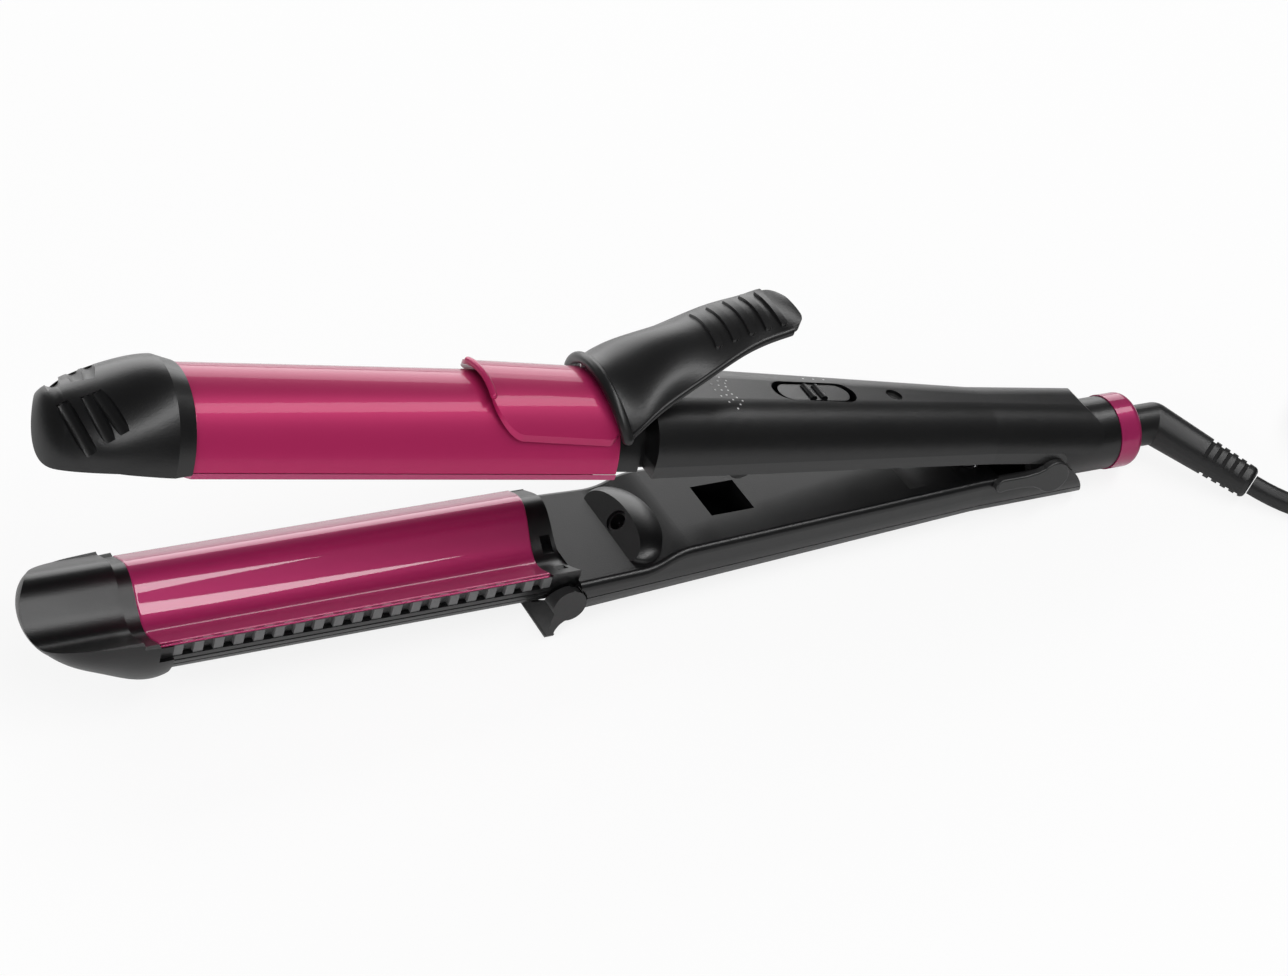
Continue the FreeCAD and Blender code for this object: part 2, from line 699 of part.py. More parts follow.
def latch_well():
    """Open tray hung under the latch window."""
    half_x = WINDOW_LENGTH / 2
    half_y = WINDOW_WIDTH / 2
    top = -0.3 - COVER_SHEET - 0.05
    outer = box(WINDOW_X - half_x - 1.2, WINDOW_X + half_x + 1.2, -half_y - 1.2, half_y + 1.2, -11.5, 2)
    inner = box(WINDOW_X - half_x, WINDOW_X + half_x, -half_y, half_y, -10.3, 3)
    return outer.cut(inner).common(below_lower_rim(COVER_SHEET, False)).common(
        box(-FAR * 3, 0, -FAR, FAR, -FAR, top + 0.6))


def latch_catch():
    """Stepped catch block at the rear of the latch well."""
    x1 = WINDOW_X + WINDOW_LENGTH / 2
    block = box(x1 - CATCH_SHEET, x1, -5.6, -1.4, -10.3, -5.2)
    return block.cut(box(x1 - CATCH_SHEET - 0.5, x1 - 0.8, -6, 0, -6.6, -5.0))


def hinge_ear():
    """Near hinge ear: a round eye with a short arm along the handle's side."""
    y0, y1 = -HINGE_HALF_WIDTH - EAR_SHEET, -HINGE_HALF_WIDTH
    eye = rod_y(EAR_R, y0, y1)
    arm_x = -EAR_ARM + EAR_HALF_HEIGHT
    arm = box(arm_x, 0, y0, y1, -EAR_HALF_HEIGHT + 0.3, EAR_HALF_HEIGHT)
    end = rod_y(EAR_HALF_HEIGHT, y0, y1, arm_x, 0)
    waist = -EAR_R * 1.5
    blend = [(waist - 2.0, EAR_HALF_HEIGHT)]
    blend += [(waist + 1.4, EAR_HALF_HEIGHT + 0.5), (-EAR_R * 0.72, EAR_R * 0.69)]
    blend += [(-EAR_R * 0.72, -EAR_R * 0.69), (waist + 1.4, -EAR_HALF_HEIGHT - 0.2)]
    blend += [(waist - 2.0, 0.3 - EAR_HALF_HEIGHT)]
    ear = eye.fuse(arm).fuse(end).fuse(side_prism(blend, y0, y1)).removeSplitter()
    rim = [e for e in ear.Edges if abs(e.BoundBox.YMin - y0) < 0.01 and e.BoundBox.YLength < 0.01]
    ear = ear.makeFillet(EAR_ROUND, rim)
    return ear.cut(rod_y(PIN_R + SEAT_GAP / 2, y0 + 0.7, y1 + 1))


def hinge_pin():
    """Steel pin through both ears and the upper arm's knuckles."""
    reach = HINGE_HALF_WIDTH + EAR_SHEET - 0.7
    return rod_y(PIN_R, -reach, reach)


def cup_radius():
    """Outer radius of the spring's cup."""
    return SPRING_R + SPRING_WIRE / 2 + 0.5 + CUP_WALL


def spring_cup():
    """Round cup on the handle's floor that holds the opening spring."""
    floor = -lower_section(SPRING_X)[1] + HANDLE_WALL
    cup = rod_z(cup_radius(), floor - 1.0, -1.5, SPRING_X)
    cup = cup.cut(rod_z(cup_radius() - CUP_WALL, floor + 1.4, 0, SPRING_X))
    cavity = handle_body(lower_section, -HANDLE_LENGTH + HANDLE_WALL, HANDLE_REAR - 2.4, -1, HANDLE_WALL)
    return cup.common(cavity)


def biarc(p0, t0, p1, t1):
    """Two tangent arcs from p0 along t0 to p1 along t1."""
    v = p1 - p0
    t = t0 + t1
    spread = 2 * (1 - t0.dot(t1))
    if spread < 1e-9:
        reach = v.dot(v) / (4 * v.dot(t1))
    else:
        reach = (-v.dot(t) + math.sqrt(v.dot(t) ** 2 + spread * v.dot(v))) / spread
    q0 = p0 + t0 * reach
    q1 = p1 - t1 * reach
    middle = (q0 + q1) * 0.5
    return [corner_arc(p0, q0, middle), corner_arc(middle, q1, p1)]


def corner_arc(a, q, b):
    """Arc from a to b whose end tangents meet at q."""
    u = (q - a).normalize()
    w = (b - q).normalize()
    turn = math.acos(max(-1.0, min(1.0, u.dot(w))))
    chord = b - a
    if turn < 1e-6:
        return Part.makeLine(a, b)
    centre = (a + b) * 0.5
    crown = (q - centre).normalize()
    crown = centre + crown * (chord.Length / 2 * math.tan(turn / 4))
    return Part.Arc(a, crown, b).toShape()


def wound_wire(place, stations):
    """Smooth wire through place(s) by quarter-turn biarcs; place gives a point and a tangent."""
    edges = []
    for s0, s1 in zip(stations[:-1], stations[1:]):
        p0, t0 = place(s0)
        p1, t1 = place(s1)
        edges += biarc(p0, t0, p1, t1)
    return edges


def bowed_rod(centre, axis, up, bow, spread, radius):
    """Round rod bent about an axis, spread evenly to both sides of the top, with round ends."""
    starts = []
    for angle in (-spread, spread):
        turn = FreeCAD.Rotation(axis, angle)
        starts.append((centre + turn.multVec(up) * bow, turn.multVec(axis.cross(up))))
    first, along = starts[0]
    disc = Part.Face(Part.Wire([Part.Circle(first, along, radius).toShape()]))
    rod = disc.revolve(centre, axis, 2 * spread)
    last, onward = starts[1]
    rod = rod.fuse(Part.makeSphere(radius, first, along * -1, 0, 90, 360))
    return rod.fuse(Part.makeSphere(radius, last, onward, 0, 90, 360))


def swept_tube(edges, radius):
    """Round tube along a smooth wire."""
    path = Part.Wire(edges)
    start = edges[0].valueAt(edges[0].FirstParameter)
    along = edges[0].tangentAt(edges[0].FirstParameter)
    ring = Part.Wire([Part.Circle(start, along, radius).toShape()])
    return path.makePipeShell([ring], True, False)


def opening_spring():
    """Coil spring between the cup's floor and the upper arm."""
    floor = -lower_section(SPRING_X)[1] + HANDLE_WALL + 1.4
    half_wire = SPRING_WIRE / 2
    top = UPPER_REAR_EDGE + math.tan(math.radians(OPEN_ANGLE)) * (-SPRING_X - SPRING_R) - 0.9
    rise = top - floor - SPRING_WIRE
    turns = SPRING_TURNS

    def place(turn):
        angle = 2 * math.pi * turn
        point = Vector(SPRING_X + SPRING_R * math.cos(angle), SPRING_R * math.sin(angle),
                       floor + half_wire + 0.05 + rise * turn / turns)
        along = Vector(-SPRING_R * math.sin(angle), SPRING_R * math.cos(angle),
                       rise / turns / (2 * math.pi))
        return point, along.normalize()

    stations = [i / 4 for i in range(turns * 4 + 1)]
    return swept_tube(wound_wire(place, stations), half_wire)


def cord_collar():
    """Round collar that carries the lead out of the lower handle."""
    body = rod_x(COLLAR_R, COLLAR_START, RING_START)
    flange = rod_x(COLLAR_R + 1.1, HANDLE_REAR - 5.0, HANDLE_REAR - 2.4)
    flange = flange.common(box(-FAR, FAR, -FAR, FAR, -FAR, -4.2))
    body = body.fuse(flange)
    body = body.cut(rod_x(COLLAR_BORE, COLLAR_START + 4, RING_START + 1))
    return body.cut(rod_x(3.0, COLLAR_START - 1, COLLAR_START + 5))


def trim_ring():
    """Coloured ring with a rounded outer lip."""
    ring = rod_x(RING_R, RING_START, RING_START + RING_LENGTH)
    ring = ring.makeFillet(2.2, [e for e in ring.Edges
                                 if abs(e.CenterOfMass.x - RING_START - RING_LENGTH) < 0.01])
    return ring.cut(rod_x(ELBOW_STEM_R + RUNNING_GAP, RING_START - 1, RING_START + RING_LENGTH + 1))


def elbow_direction():
    """Direction of the lead's sleeve away from the arm's axis."""
    bend = math.radians(ELBOW_BEND)
    roll = math.radians(ELBOW_ROLL)
    side = math.sin(bend)
    return Vector(math.cos(bend), -side * math.sin(roll), -side * math.cos(roll))


def cord_elbow():
    """Swivelling elbow: a stem in the ring, a round knee and a slotted tapering sleeve."""
    out = RING_START + RING_LENGTH + 0.3
    knee = Vector(ELBOW_KNEE, 0, 0)
    along = elbow_direction()
    stem = rod_x(ELBOW_STEM_R, RING_START - 0.6, out + 1)
    shoulder = rod_x(ELBOW_R, out, ELBOW_KNEE)
    ball = Part.makeSphere(ELBOW_R, knee)
    sleeve = Part.makeCone(ELBOW_R, ELBOW_END_R, ELBOW_LENGTH, knee, along)
    end = knee + along * ELBOW_LENGTH
    end_edges = [e for e in sleeve.Edges if (e.CenterOfMass - end).Length < 0.1]
    sleeve = sleeve.makeFillet(SLEEVE_ROUND, end_edges)
    body = shoulder.fuse(ball).fuse(sleeve).fuse(stem)
    side = along.cross(Vector(0, 0, 1)).normalize()
    crown = side.cross(along).normalize()
    for i in range(SLOT_COUNT):
        place = knee + along * (ELBOW_LENGTH * (0.53 + 0.085 * i))
        body = body.cut(slot_block(place, along, crown))
        body = body.cut(slot_block(place + along * (SLOT_WIDTH * 1.16), along, crown * -1))
    return body.removeSplitter()


def slot_block(place, along, outward):
    """Thin flat cut across one side of the sleeve."""
    across = along.cross(outward).normalize()
    depth = 2 * ELBOW_R
    a = place + outward * SLOT_CORE - across * depth
    b = a + along * SLOT_WIDTH
    points = [a, b, b + across * 2 * depth, a + across * 2 * depth, a]
    return Part.Face(Part.makePolygon(points)).extrude(outward * depth)


def swivel_retainer():
    """Ring clip that keeps the elbow's stem in the trim ring."""
    inside = RING_START - 2.0
    clip = rod_x(ELBOW_STEM_R + 1.6, inside, RING_START - 0.1)
    return clip.cut(rod_x(ELBOW_STEM_R - 1.2, inside - 1, RING_START - 0.6)).cut(
        rod_x(ELBOW_STEM_R + SEAT_GAP / 2, RING_START - 0.6, RING_START))


def upper_barrel_shell():
    """Half-round outer shell of the upper arm's barrel."""
    tube = rod_x(BARREL_R, PLATE_LEFT, NECK_START).cut(rod_x(BARREL_BORE, PLATE_LEFT, NECK_START))
    return tube.common(wave_side(PLATE_LEFT, NECK_START, HALF_GAP + PLATE_SHEET, 1))


def upper_plate():
    """Heated wave plate of the upper arm."""
    return wave_sheet(PLATE_LEFT, NECK_START, HALF_GAP, HALF_GAP + PLATE_SHEET)


def tip_stations():
    """Station, half width and half height of the tip cap, from its crest to its nose."""
    crest = BARREL_R + TIP_SWELL
    shares = [(0.315, 0.972, 0.949), (0.464, 0.9375, 0.852), (0.616, 0.875, 0.744)]
    shares += [(0.768, 0.75, 0.653), (0.904, 0.5625, 0.545)]
    stations = [(CAP_SEAT - TIP_BAND, crest, crest)]
    return stations + [(CAP_SEAT - TIP_LENGTH * share, crest * w, crest * h) for share, w, h in shares]


def tip_point(share, angle):
    """Point of the tip cap's skin at a share of its length, at an angle from its top."""
    x = CAP_SEAT - TIP_LENGTH * share
    stations = tip_stations()
    turn = math.radians(angle)
    for front, back in zip(stations[1:], stations[:-1]):
        if front[0] <= x <= back[0]:
            w = between(x, front[0], back[0], front[1], back[1])
            h = between(x, front[0], back[0], front[2], back[2])
            return Vector(x, w * math.sin(turn), h * math.cos(turn))
    x, w, h = stations[-1]
    return Vector(x, w * math.sin(turn), h * math.cos(turn))


def tip_cap():
    """Finger grip at the tip of the upper arm, with a bevelled band and slanted grooves."""
    stations = tip_stations()
    crest = stations[0][1]
    band = Part.makeCone(crest, BARREL_R + 0.5, TIP_BAND, Vector(CAP_SEAT - TIP_BAND, 0, 0), Vector(1, 0, 0))
    x, w, h = stations[-1]
    reach = TIP_LENGTH - (CAP_SEAT - x)
    body = cap_body(stations).fuse(band).fuse(nose(x, w, h, reach))
    body = body.common(wave_side(CAP_SEAT - TIP_LENGTH - 5, CAP_SEAT, CAP_RISE + CAP_GAP, 1))
    for top, side in (((0.65, 8), (0.53, 50)), ((0.725, 10), (0.625, 56)), ((0.88, 12), (0.74, 70))):
        for sign in (-1, 1):
            body = body.cut(grip_groove(tip_point(*top), tip_point(*side), sign))
    return body.cut(rod_x(SCREW_R + SEAT_GAP, CAP_SEAT - 8, CAP_SEAT + 1, 0, SCREW_Z))


def grip_groove(start, finish, sign):
    """Slanted round-bottomed groove pressed in one side, between two points of the skin."""
    along = finish - start
    outward = Vector(0, start.y + finish.y, start.z + finish.z).normalize()
    groove = Part.makeCylinder(SCORE_R, along.Length, start + outward * (SCORE_R - SCORE_DEPTH), along)
    return groove if sign > 0 else mirrored(groove)


def neck_ring():
    """Neck that joins the upper barrel to its handle, with the lever's two lugs."""
    groove = NECK_START + NECK_LENGTH
    face = -UPPER_LENGTH
    body = rod_x(NECK_R, NECK_START, groove).fuse(rod_x(GROOVE_R, groove, face))
    lug = rod_y(LUG_R, -LUG_HALF, LUG_HALF, LEVER_PIVOT_X, LEVER_PIVOT_Z)
    body = body.fuse(lug).common(box(NECK_START, face, -FAR, FAR, NECK_FLOOR, FAR))
    body = body.cut(wave_side(NECK_START - 1, face, HALF_GAP + PLATE_SHEET, -1))
    return body.cut(rod_y(LEVER_PIN_R + SEAT_GAP / 2, -FAR, FAR, LEVER_PIVOT_X, LEVER_PIVOT_Z))


def upper_edge_prism(lift, rounded):
    """Volume above the upper handle's lower edge, raised by lift, up to its rounded rear."""
    x0 = -UPPER_LENGTH
    front = Vector(x0, -FAR, UPPER_FRONT_EDGE + lift)
    turn = Vector(4.0, -FAR, UPPER_REAR_EDGE + lift)
    edges = polyline([front, turn])
    end = turn
    if rounded:
        places = [(turn.x, turn.z), (8.5, 3.7 + lift * 0.6), (12.6, 6.4), (UPPER_REAR - 0.3, 9.2)]
        places += [(UPPER_REAR, 11.0), (UPPER_REAR - 1.5, 13.2), (UPPER_REAR - 4.9, REAR_HEIGHT + 0.3)]
        edges.append(smooth_line(places))
        end = Vector(UPPER_REAR - 4.9, -FAR, REAR_HEIGHT + 0.3)
    edges += polyline([end, Vector(end.x, -FAR, FAR), Vector(x0, -FAR, FAR), front])
    return outline_prism(edges, FAR)


def collar_sweep():
    """Space that the lower arm's collar takes up while the arms open."""
    tube = rod_x(COLLAR_R + 0.5, COLLAR_START - 1.5, FAR)
    copies = []
    for share in (0.0, 0.5, 1.0):
        copy = tube.copy()
        copy.rotate(Vector(0, 0, 0), Vector(0, 1, 0), -OPEN_ANGLE * share)
        copies.append(copy)
    return copies


def upper_handle_shell():
    """Long upper handle shell with the switch slot and the lamp hole."""
    x0, x1 = -UPPER_LENGTH, UPPER_REAR
    outer = handle_body(upper_section, x0, x1 + 2, 1, 0.0)
    inner = handle_body(upper_section, x0 + HANDLE_WALL, x1 + 3, 1, HANDLE_WALL)
    shell = outer.cut(inner).common(upper_edge_prism(STRIP_HEIGHT, True))
    for sweep in collar_sweep():
        shell = shell.cut(sweep)
    shell = shell.cut(pill(SWITCH_X, SWITCH_LENGTH, SWITCH_WIDTH, HINGE_HEIGHT / 2, FAR))
    return shell.cut(rod_z(LAMP_R, HINGE_HEIGHT / 2, FAR, LAMP_X))


def pill(x, length, width, z0, z1):
    """Upright block with round ends, centred at x."""
    radius = width / 2
    reach = length / 2 - radius
    block = box(x - reach, x + reach, -radius, radius, z0, z1)
    ends = [rod_z(radius, z0, z1, x - reach), rod_z(radius, z0, z1, x + reach)]
    return block.fuse(ends).removeSplitter()


def upper_inner_cover():
    """Grey lower strip and floor of the upper handle, with the two hinge knuckles."""
    x0 = -UPPER_LENGTH
    outer = handle_body(upper_section, x0, UPPER_REAR, 1, 0.0)
    inner = handle_body(upper_section, x0 + HANDLE_WALL, UPPER_REAR + 1, 1, HANDLE_WALL)
    band = outer.common(upper_edge_prism(0.0, False)).cut(upper_edge_prism(STRIP_HEIGHT, True))
    pocket = inner.common(upper_edge_prism(FLOOR_SHEET, False))
    tray = band.cut(pocket)
    tray = tray.cut(box(-9.0, FAR, -HINGE_HALF_WIDTH + 2.4, HINGE_HALF_WIDTH - 2.4, -FAR, FAR))
    end_round = rod_y(STRIP_HEIGHT, -FAR, FAR, 1.0, UPPER_REAR_EDGE)
    keep = box(x0, 1.0, -FAR, FAR, -FAR, FAR).fuse(end_round)
    tray = tray.common(keep)
    y1 = UPPER_HALF_WIDTH - 2.0 - 0.4
    y0 = y1 - KNUCKLE_SHEET
    level = between(-9.0, x0, 4.0, UPPER_FRONT_EDGE, UPPER_REAR_EDGE)
    arm = [(-13.0, level), (-13.0, level + FLOOR_SHEET), (2.0, level + FLOOR_SHEET)]
    arm += [(3.6, 2.0), (3.6, -2.0), (-3.6, -2.0), (-6.0, level)]
    knuckle = side_prism(arm, -y1, -y0).fuse(rod_y(KNUCKLE_R, -y1, -y0))
    knuckle = knuckle.cut(rod_y(PIN_R + RUNNING_GAP, -FAR, FAR))
    tray = tray.fuse(knuckle).fuse(mirrored(knuckle))
    for sweep in collar_sweep():
        tray = tray.cut(sweep)
    return tray.removeSplitter()


def floor_top(x):
    """Level of the upper handle's floor at x."""
    return between(x, -UPPER_LENGTH, 4.0, UPPER_FRONT_EDGE, UPPER_REAR_EDGE) + FLOOR_SHEET


def board_level():
    """Level of the control board's underside."""
    return floor_top(BOARD_REAR) + BOARD_RISE


def circuit_board():
    """Control board on the upper handle's floor, with its solder-side standoffs."""
    level = board_level()
    half = BOARD_HALF_WIDTH
    board = box(BOARD_FRONT, BOARD_REAR, -half, half, level, level + BOARD_SHEET)
    for x in (BOARD_FRONT + 4, BOARD_REAR - 4):
        for y in (2.5 - half, half - 2.5):
            post = rod_z(1.8, floor_top(x + 1.8) + 0.02, level, x, y)
            board = board.fuse(post)
    return board


def track_top():
    """Level of the switch body's upper face, just under the handle's roof."""
    return upper_section(SWITCH_X)[1] - HANDLE_WALL - 0.6


def switch_housing():
    """Switch body on the board, with the track that the slider runs in."""
    level = board_level() + BOARD_SHEET
    half = SWITCH_LENGTH / 2 + 2.0
    side = SWITCH_WIDTH / 2 + 1.5
    body = box(SWITCH_X - half, SWITCH_X + half, -side, side, level, track_top())
    slide = SLIDER_LENGTH / 2 - 2.0 + SWITCH_TRAVEL + SLIDE_CLEARANCE
    track = box(SWITCH_X - slide, SWITCH_X + slide, -2.0 - SLIDE_CLEARANCE, 2.0 + SLIDE_CLEARANCE,
                track_top() - 2.5, track_top() + 1)
    return body.cut(track)


def switch_slider():
    """Round-ended thumb slide with a raised double rib across its middle."""
    height = upper_section(SWITCH_X)[1]
    top = track_top()
    half = SLIDER_LENGTH / 2
    knob = pill(SWITCH_X, SLIDER_LENGTH, SLIDER_WIDTH, top + 0.1, height - 0.3)
    for x in (SWITCH_X - 1.6, SWITCH_X + 1.6):
        rib = rod_y(1.0, -SLIDER_WIDTH / 2 + 0.6, SLIDER_WIDTH / 2 - 0.6, x, height - 0.5)
        knob = knob.fuse(rib)
    foot = box(SWITCH_X - half + 2, SWITCH_X + half - 2, -2.0, 2.0, top - 2.2, top + 0.3)
    return knob.fuse(foot).removeSplitter()


def led_lens():
    """Lamp lens standing on the board and showing in its hole."""
    height = upper_section(LAMP_X)[1]
    level = board_level() + BOARD_SHEET
    lens = rod_z(LAMP_R - 0.1, height - HANDLE_WALL, height - 0.8, LAMP_X)
    stem = rod_z(1.5, level, height - HANDLE_WALL, LAMP_X)
    return lens.fuse(stem).removeSplitter()


def latch_hook():
    """Round-ended tongue that drops into the lower arm's latch window."""
    half = TONGUE_WIDTH / 2
    x = WINDOW_X
    drop = -TONGUE_DROP + TONGUE_R
    tongue = rod_y(TONGUE_R, -half, half, x, drop)
    front, rear = x - TONGUE_R, x + TONGUE_R
    neck = side_prism([(front, drop), (rear, drop), (rear, floor_top(rear) - FLOOR_SHEET),
                       (front, floor_top(front) - FLOOR_SHEET)], -half, half)
    hook = tongue.fuse(neck)
    window = rod_y(1.5, -half - 1, half + 1, x, drop)
    return hook.cut(window).removeSplitter()


def lever_pin():
    """Pin that the thumb lever turns on."""
    reach = CHEEK_OUT - 0.6
    return rod_y(LEVER_PIN_R, -reach, reach, LEVER_PIVOT_X, LEVER_PIVOT_Z)


def lever_spring(sign):
    """Torsion spring wound round the lever pin, between lug and cheek."""
    wire = 0.6
    radius = LEVER_PIN_R + SEAT_GAP + wire / 2
    y0 = LUG_HALF + 0.05 + wire / 2
    turns = 2
    step = 0.72

    def place(turn):
        angle = 2 * math.pi * turn
        point = Vector(LEVER_PIVOT_X + radius * math.cos(angle), sign * (y0 + step * turn),
                       LEVER_PIVOT_Z + radius * math.sin(angle))
        along = Vector(-radius * math.sin(angle), sign * step / (2 * math.pi), radius * math.cos(angle))
        return point, along.normalize()

    stations = [i / 4 for i in range(turns * 4 + 1)]
    return swept_tube(wound_wire(place, stations), wire / 2)


def clip_cone(inner, x0, x1):
    """Slightly flared tube that hugs the barrel; inner is the inside radius at the collar."""
    lift = CLIP_LIFT * (x1 - x0) / CLIP_LENGTH
    tube = Part.makeCone(inner + lift, inner, x1 - x0, Vector(x0, 0, 0), Vector(1, 0, 0))
    return tube


def clip_sheet():
    """Short sprung clip with rounded corners and a fine rolled lip."""
    x1 = LEVER_FRONT
    x0 = x1 - CLIP_LENGTH + 2.0
    inner = BARREL_R + CLIP_CLEARANCE
    sheet = clip_cone(inner + CLIP_SHEET, x0, x1).cut(clip_cone(inner, x0, x1))
    plan = box(x0, x1, -CLIP_HALF_WIDTH, CLIP_HALF_WIDTH, -1, FAR)
    upright = [e for e in plan.Edges if abs(e.Length - FAR - 1) < 0.01]
    plan = plan.makeFillet(CLIP_CORNER, [e for e in upright if e.CenterOfMass.x < x0 + 1])
    upright = [e for e in plan.Edges if abs(e.Length - FAR - 1) < 0.01 and e.CenterOfMass.x > x1 - 0.01]
    plan = plan.makeFillet(CLIP_REAR_CORNER, upright)
    sheet = sheet.common(plan)
    for sign in (-1, 1):
        sheet = sheet.cut(rivet_rod(sign, RIVET_R, BARREL_R + 0.12, BARREL_R + 4.0))
    bow = inner + CLIP_LIFT + CLIP_SHEET
    spread = math.degrees(math.asin((CLIP_HALF_WIDTH - CLIP_CORNER) / bow))
    lip = bowed_rod(Vector(x0 + 0.1, 0, 0), Vector(1, 0, 0), Vector(0, 0, 1), bow, spread, LIP_R)
    return sheet.fuse(lip)


def rivet_rod(sign, radius, low, high):
    """Rod across the barrel's axis at one rivet, from one distance out to another."""
    angle = math.radians(90 - sign * 25)
    out = Vector(0, math.cos(angle), math.sin(angle))
    start = Vector(LEVER_FRONT - 1.3, 0, 0) + out * low
    return Part.makeCylinder(radius, high - low, start, out)


def rivet_top():
    """Distance of a rivet's upper end from the barrel's axis, inside the lever."""
    return BARREL_R + CLIP_CLEARANCE + CLIP_SHEET + COLLAR_SHEET - 0.2


def clip_rivet(sign):
    """Blind rivet that holds the clip to the lever's collar."""
    return rivet_rod(sign, RIVET_R - SEAT_GAP / 2, BARREL_R + CLIP_CLEARANCE + 0.02, rivet_top())


def crescent(x, crown, half_width, edge, sheet):
    """Arched section of the lever at station x, with rounded side edges."""
    outer = [Vector(x, -half_width, edge), Vector(x, 0, crown), Vector(x, half_width, edge)]
    inner = [v - Vector(0, 0, sheet) for v in outer]
    bulge = Vector(0, sheet * 0.35, 0)
    far_side = (outer[2] + inner[2]) * 0.5 + bulge
    near_side = (outer[0] + inner[0]) * 0.5 - bulge
    edges = [Part.Arc(outer[0], outer[1], outer[2]).toShape()]
    edges.append(Part.Arc(outer[2], far_side, inner[2]).toShape())
    edges.append(Part.Arc(inner[2], inner[1], inner[0]).toShape())
    edges.append(Part.Arc(inner[0], near_side, outer[0]).toShape())
    return Part.Wire(edges)


def lever_stations():
    """Station, crown, half width and edge level of each lever section."""
    shares = [(-0.114, 1.25, 0.9875, 0.6), (-0.0045, 1.325, 0.95, 0.675), (0.118, 1.525, 0.9, 1.05)]
    shares += [(0.236, 1.725, 0.8, 1.2875), (0.464, 1.975, 0.669, 1.725), (0.645, 2.2, 0.581, 2.0625)]
    shares += [(0.827, 2.375, 0.525, 2.2875), (1.0, 2.45, 0.4375, 2.4)]
    return [(LEVER_FRONT + LEVER_LENGTH * d, BARREL_R * crown, BARREL_R * w, BARREL_R * edge)
            for d, crown, w, edge in shares]


def lever_body(sheet):
    """Arched body of the lever, sheet thick."""
    wires = [crescent(x, crown, w, edge, sheet) for x, crown, w, edge in lever_stations()]
    return Part.makeLoft(wires, True, False)


def rim_frame():
    """Centre, normal, upward direction and radius of the lever's raked front band."""
    rake = math.radians(LEVER_RAKE)
    normal = Vector(math.cos(rake), 0, math.sin(rake))
    up = Vector(-math.sin(rake), 0, math.cos(rake))
    radius = 1.1 * BARREL_R
    top = Vector(LEVER_FRONT - 2.9, 0, BARREL_R + CLIP_CLEARANCE + CLIP_SHEET + RIM_R + 0.7)
    return top - up * radius, normal, up, radius


def lever_rim():
    """Rounded band along the lever's front edge, with round ends."""
    centre, normal, up, radius = rim_frame()
    level = 0.6875 * BARREL_R
    spread = math.degrees(math.acos((level - centre.z) / up.z / radius))
    return bowed_rod(centre, normal, up, radius, spread, RIM_R)


def before_rim():
    """Space in front of the lever's raked front."""
    centre, normal, up = rim_frame()[:3]
    high = centre + up * FAR
    low = centre - up * FAR
    corners = [high, low, low - normal * FAR, high - normal * FAR]
    return side_prism([(v.x, v.z) for v in corners], -FAR, FAR)


def lever_plan():
    """Outline of the lever seen from above, with rounded rear corners."""
    end = LEVER_FRONT + LEVER_LENGTH
    radius = 0.6 * 0.4375 * BARREL_R
    half = 0.4 * 0.4375 * BARREL_R + 0.6
    plan = box(-FAR * 4, end - radius, -FAR, FAR, 0, FAR).fuse(box(end - FAR / 4, end, -half, half, 0, FAR))
    for y in (-half, half):
        plan = plan.fuse(rod_z(radius, 0, FAR, end - radius, y))
    return plan


def lever_ribs():
    """Plan of the raised grip ribs."""
    ribs = []
    half = 0.41 * BARREL_R
    pitch = 0.0886 * LEVER_LENGTH
    for i in range(RIB_COUNT_LEVER):
        x = LEVER_FRONT + 0.49 * LEVER_LENGTH + pitch * i
        width = 0.4 * pitch
        rib = box(x, x + width, -half, half, 0, FAR)
        for y in (-half, half):
            rib = rib.fuse(rod_z(width / 2, 0, FAR, x + width / 2, y))
        ribs.append(rib)
    return Part.makeCompound(ribs)


def thumb_lever():
    """Arched thumb lever with a rounded front band, pivot cheeks and five grip ribs."""
    paddle = lever_body(LEVER_SHEET).common(lever_plan())
    raised = lever_body(LEVER_SHEET)
    raised.translate(Vector(0, 0, 0.7))
    ribs = raised.common(lever_ribs())
    under = BARREL_R + CLIP_CLEARANCE + CLIP_SHEET
    x0 = LEVER_FRONT - COLLAR_LENGTH
    collar = rod_x(under + COLLAR_SHEET, x0, LEVER_FRONT)
    collar = collar.common(box(x0, LEVER_FRONT, -0.85 * BARREL_R, 0.85 * BARREL_R, 0.65 * BARREL_R, FAR))
    lever = paddle.fuse(collar).cut(before_rim()).fuse(lever_rim())
    hollow = clip_cone(under, x0 - 8, LEVER_FRONT).fuse(rod_x(under, LEVER_FRONT - 0.5, NECK_START + 0.6))
    lever = lever.cut(hollow)
    filled = lever_body(0.8 * BARREL_R)
    for sign in (-1, 1):
        y0, y1 = sorted((sign * CHEEK_IN, sign * CHEEK_OUT))
        cheek = rod_y(CHEEK_R, y0, y1, LEVER_PIVOT_X, LEVER_PIVOT_Z)
        web = box(LEVER_PIVOT_X - 1.4, LEVER_PIVOT_X + CHEEK_R, y0, y1, LEVER_PIVOT_Z, FAR)
        lever = lever.fuse(cheek).fuse(web.common(filled))
        lever = lever.cut(rivet_rod(sign, RIVET_R, BARREL_R - 1, rivet_top() + 0.1))
    reach = CHEEK_OUT - 0.4
    lever = lever.cut(rod_y(LEVER_PIN_R + RUNNING_GAP, -reach, reach, LEVER_PIVOT_X, LEVER_PIVOT_Z))
    return lever.fuse(ribs).removeSplitter()


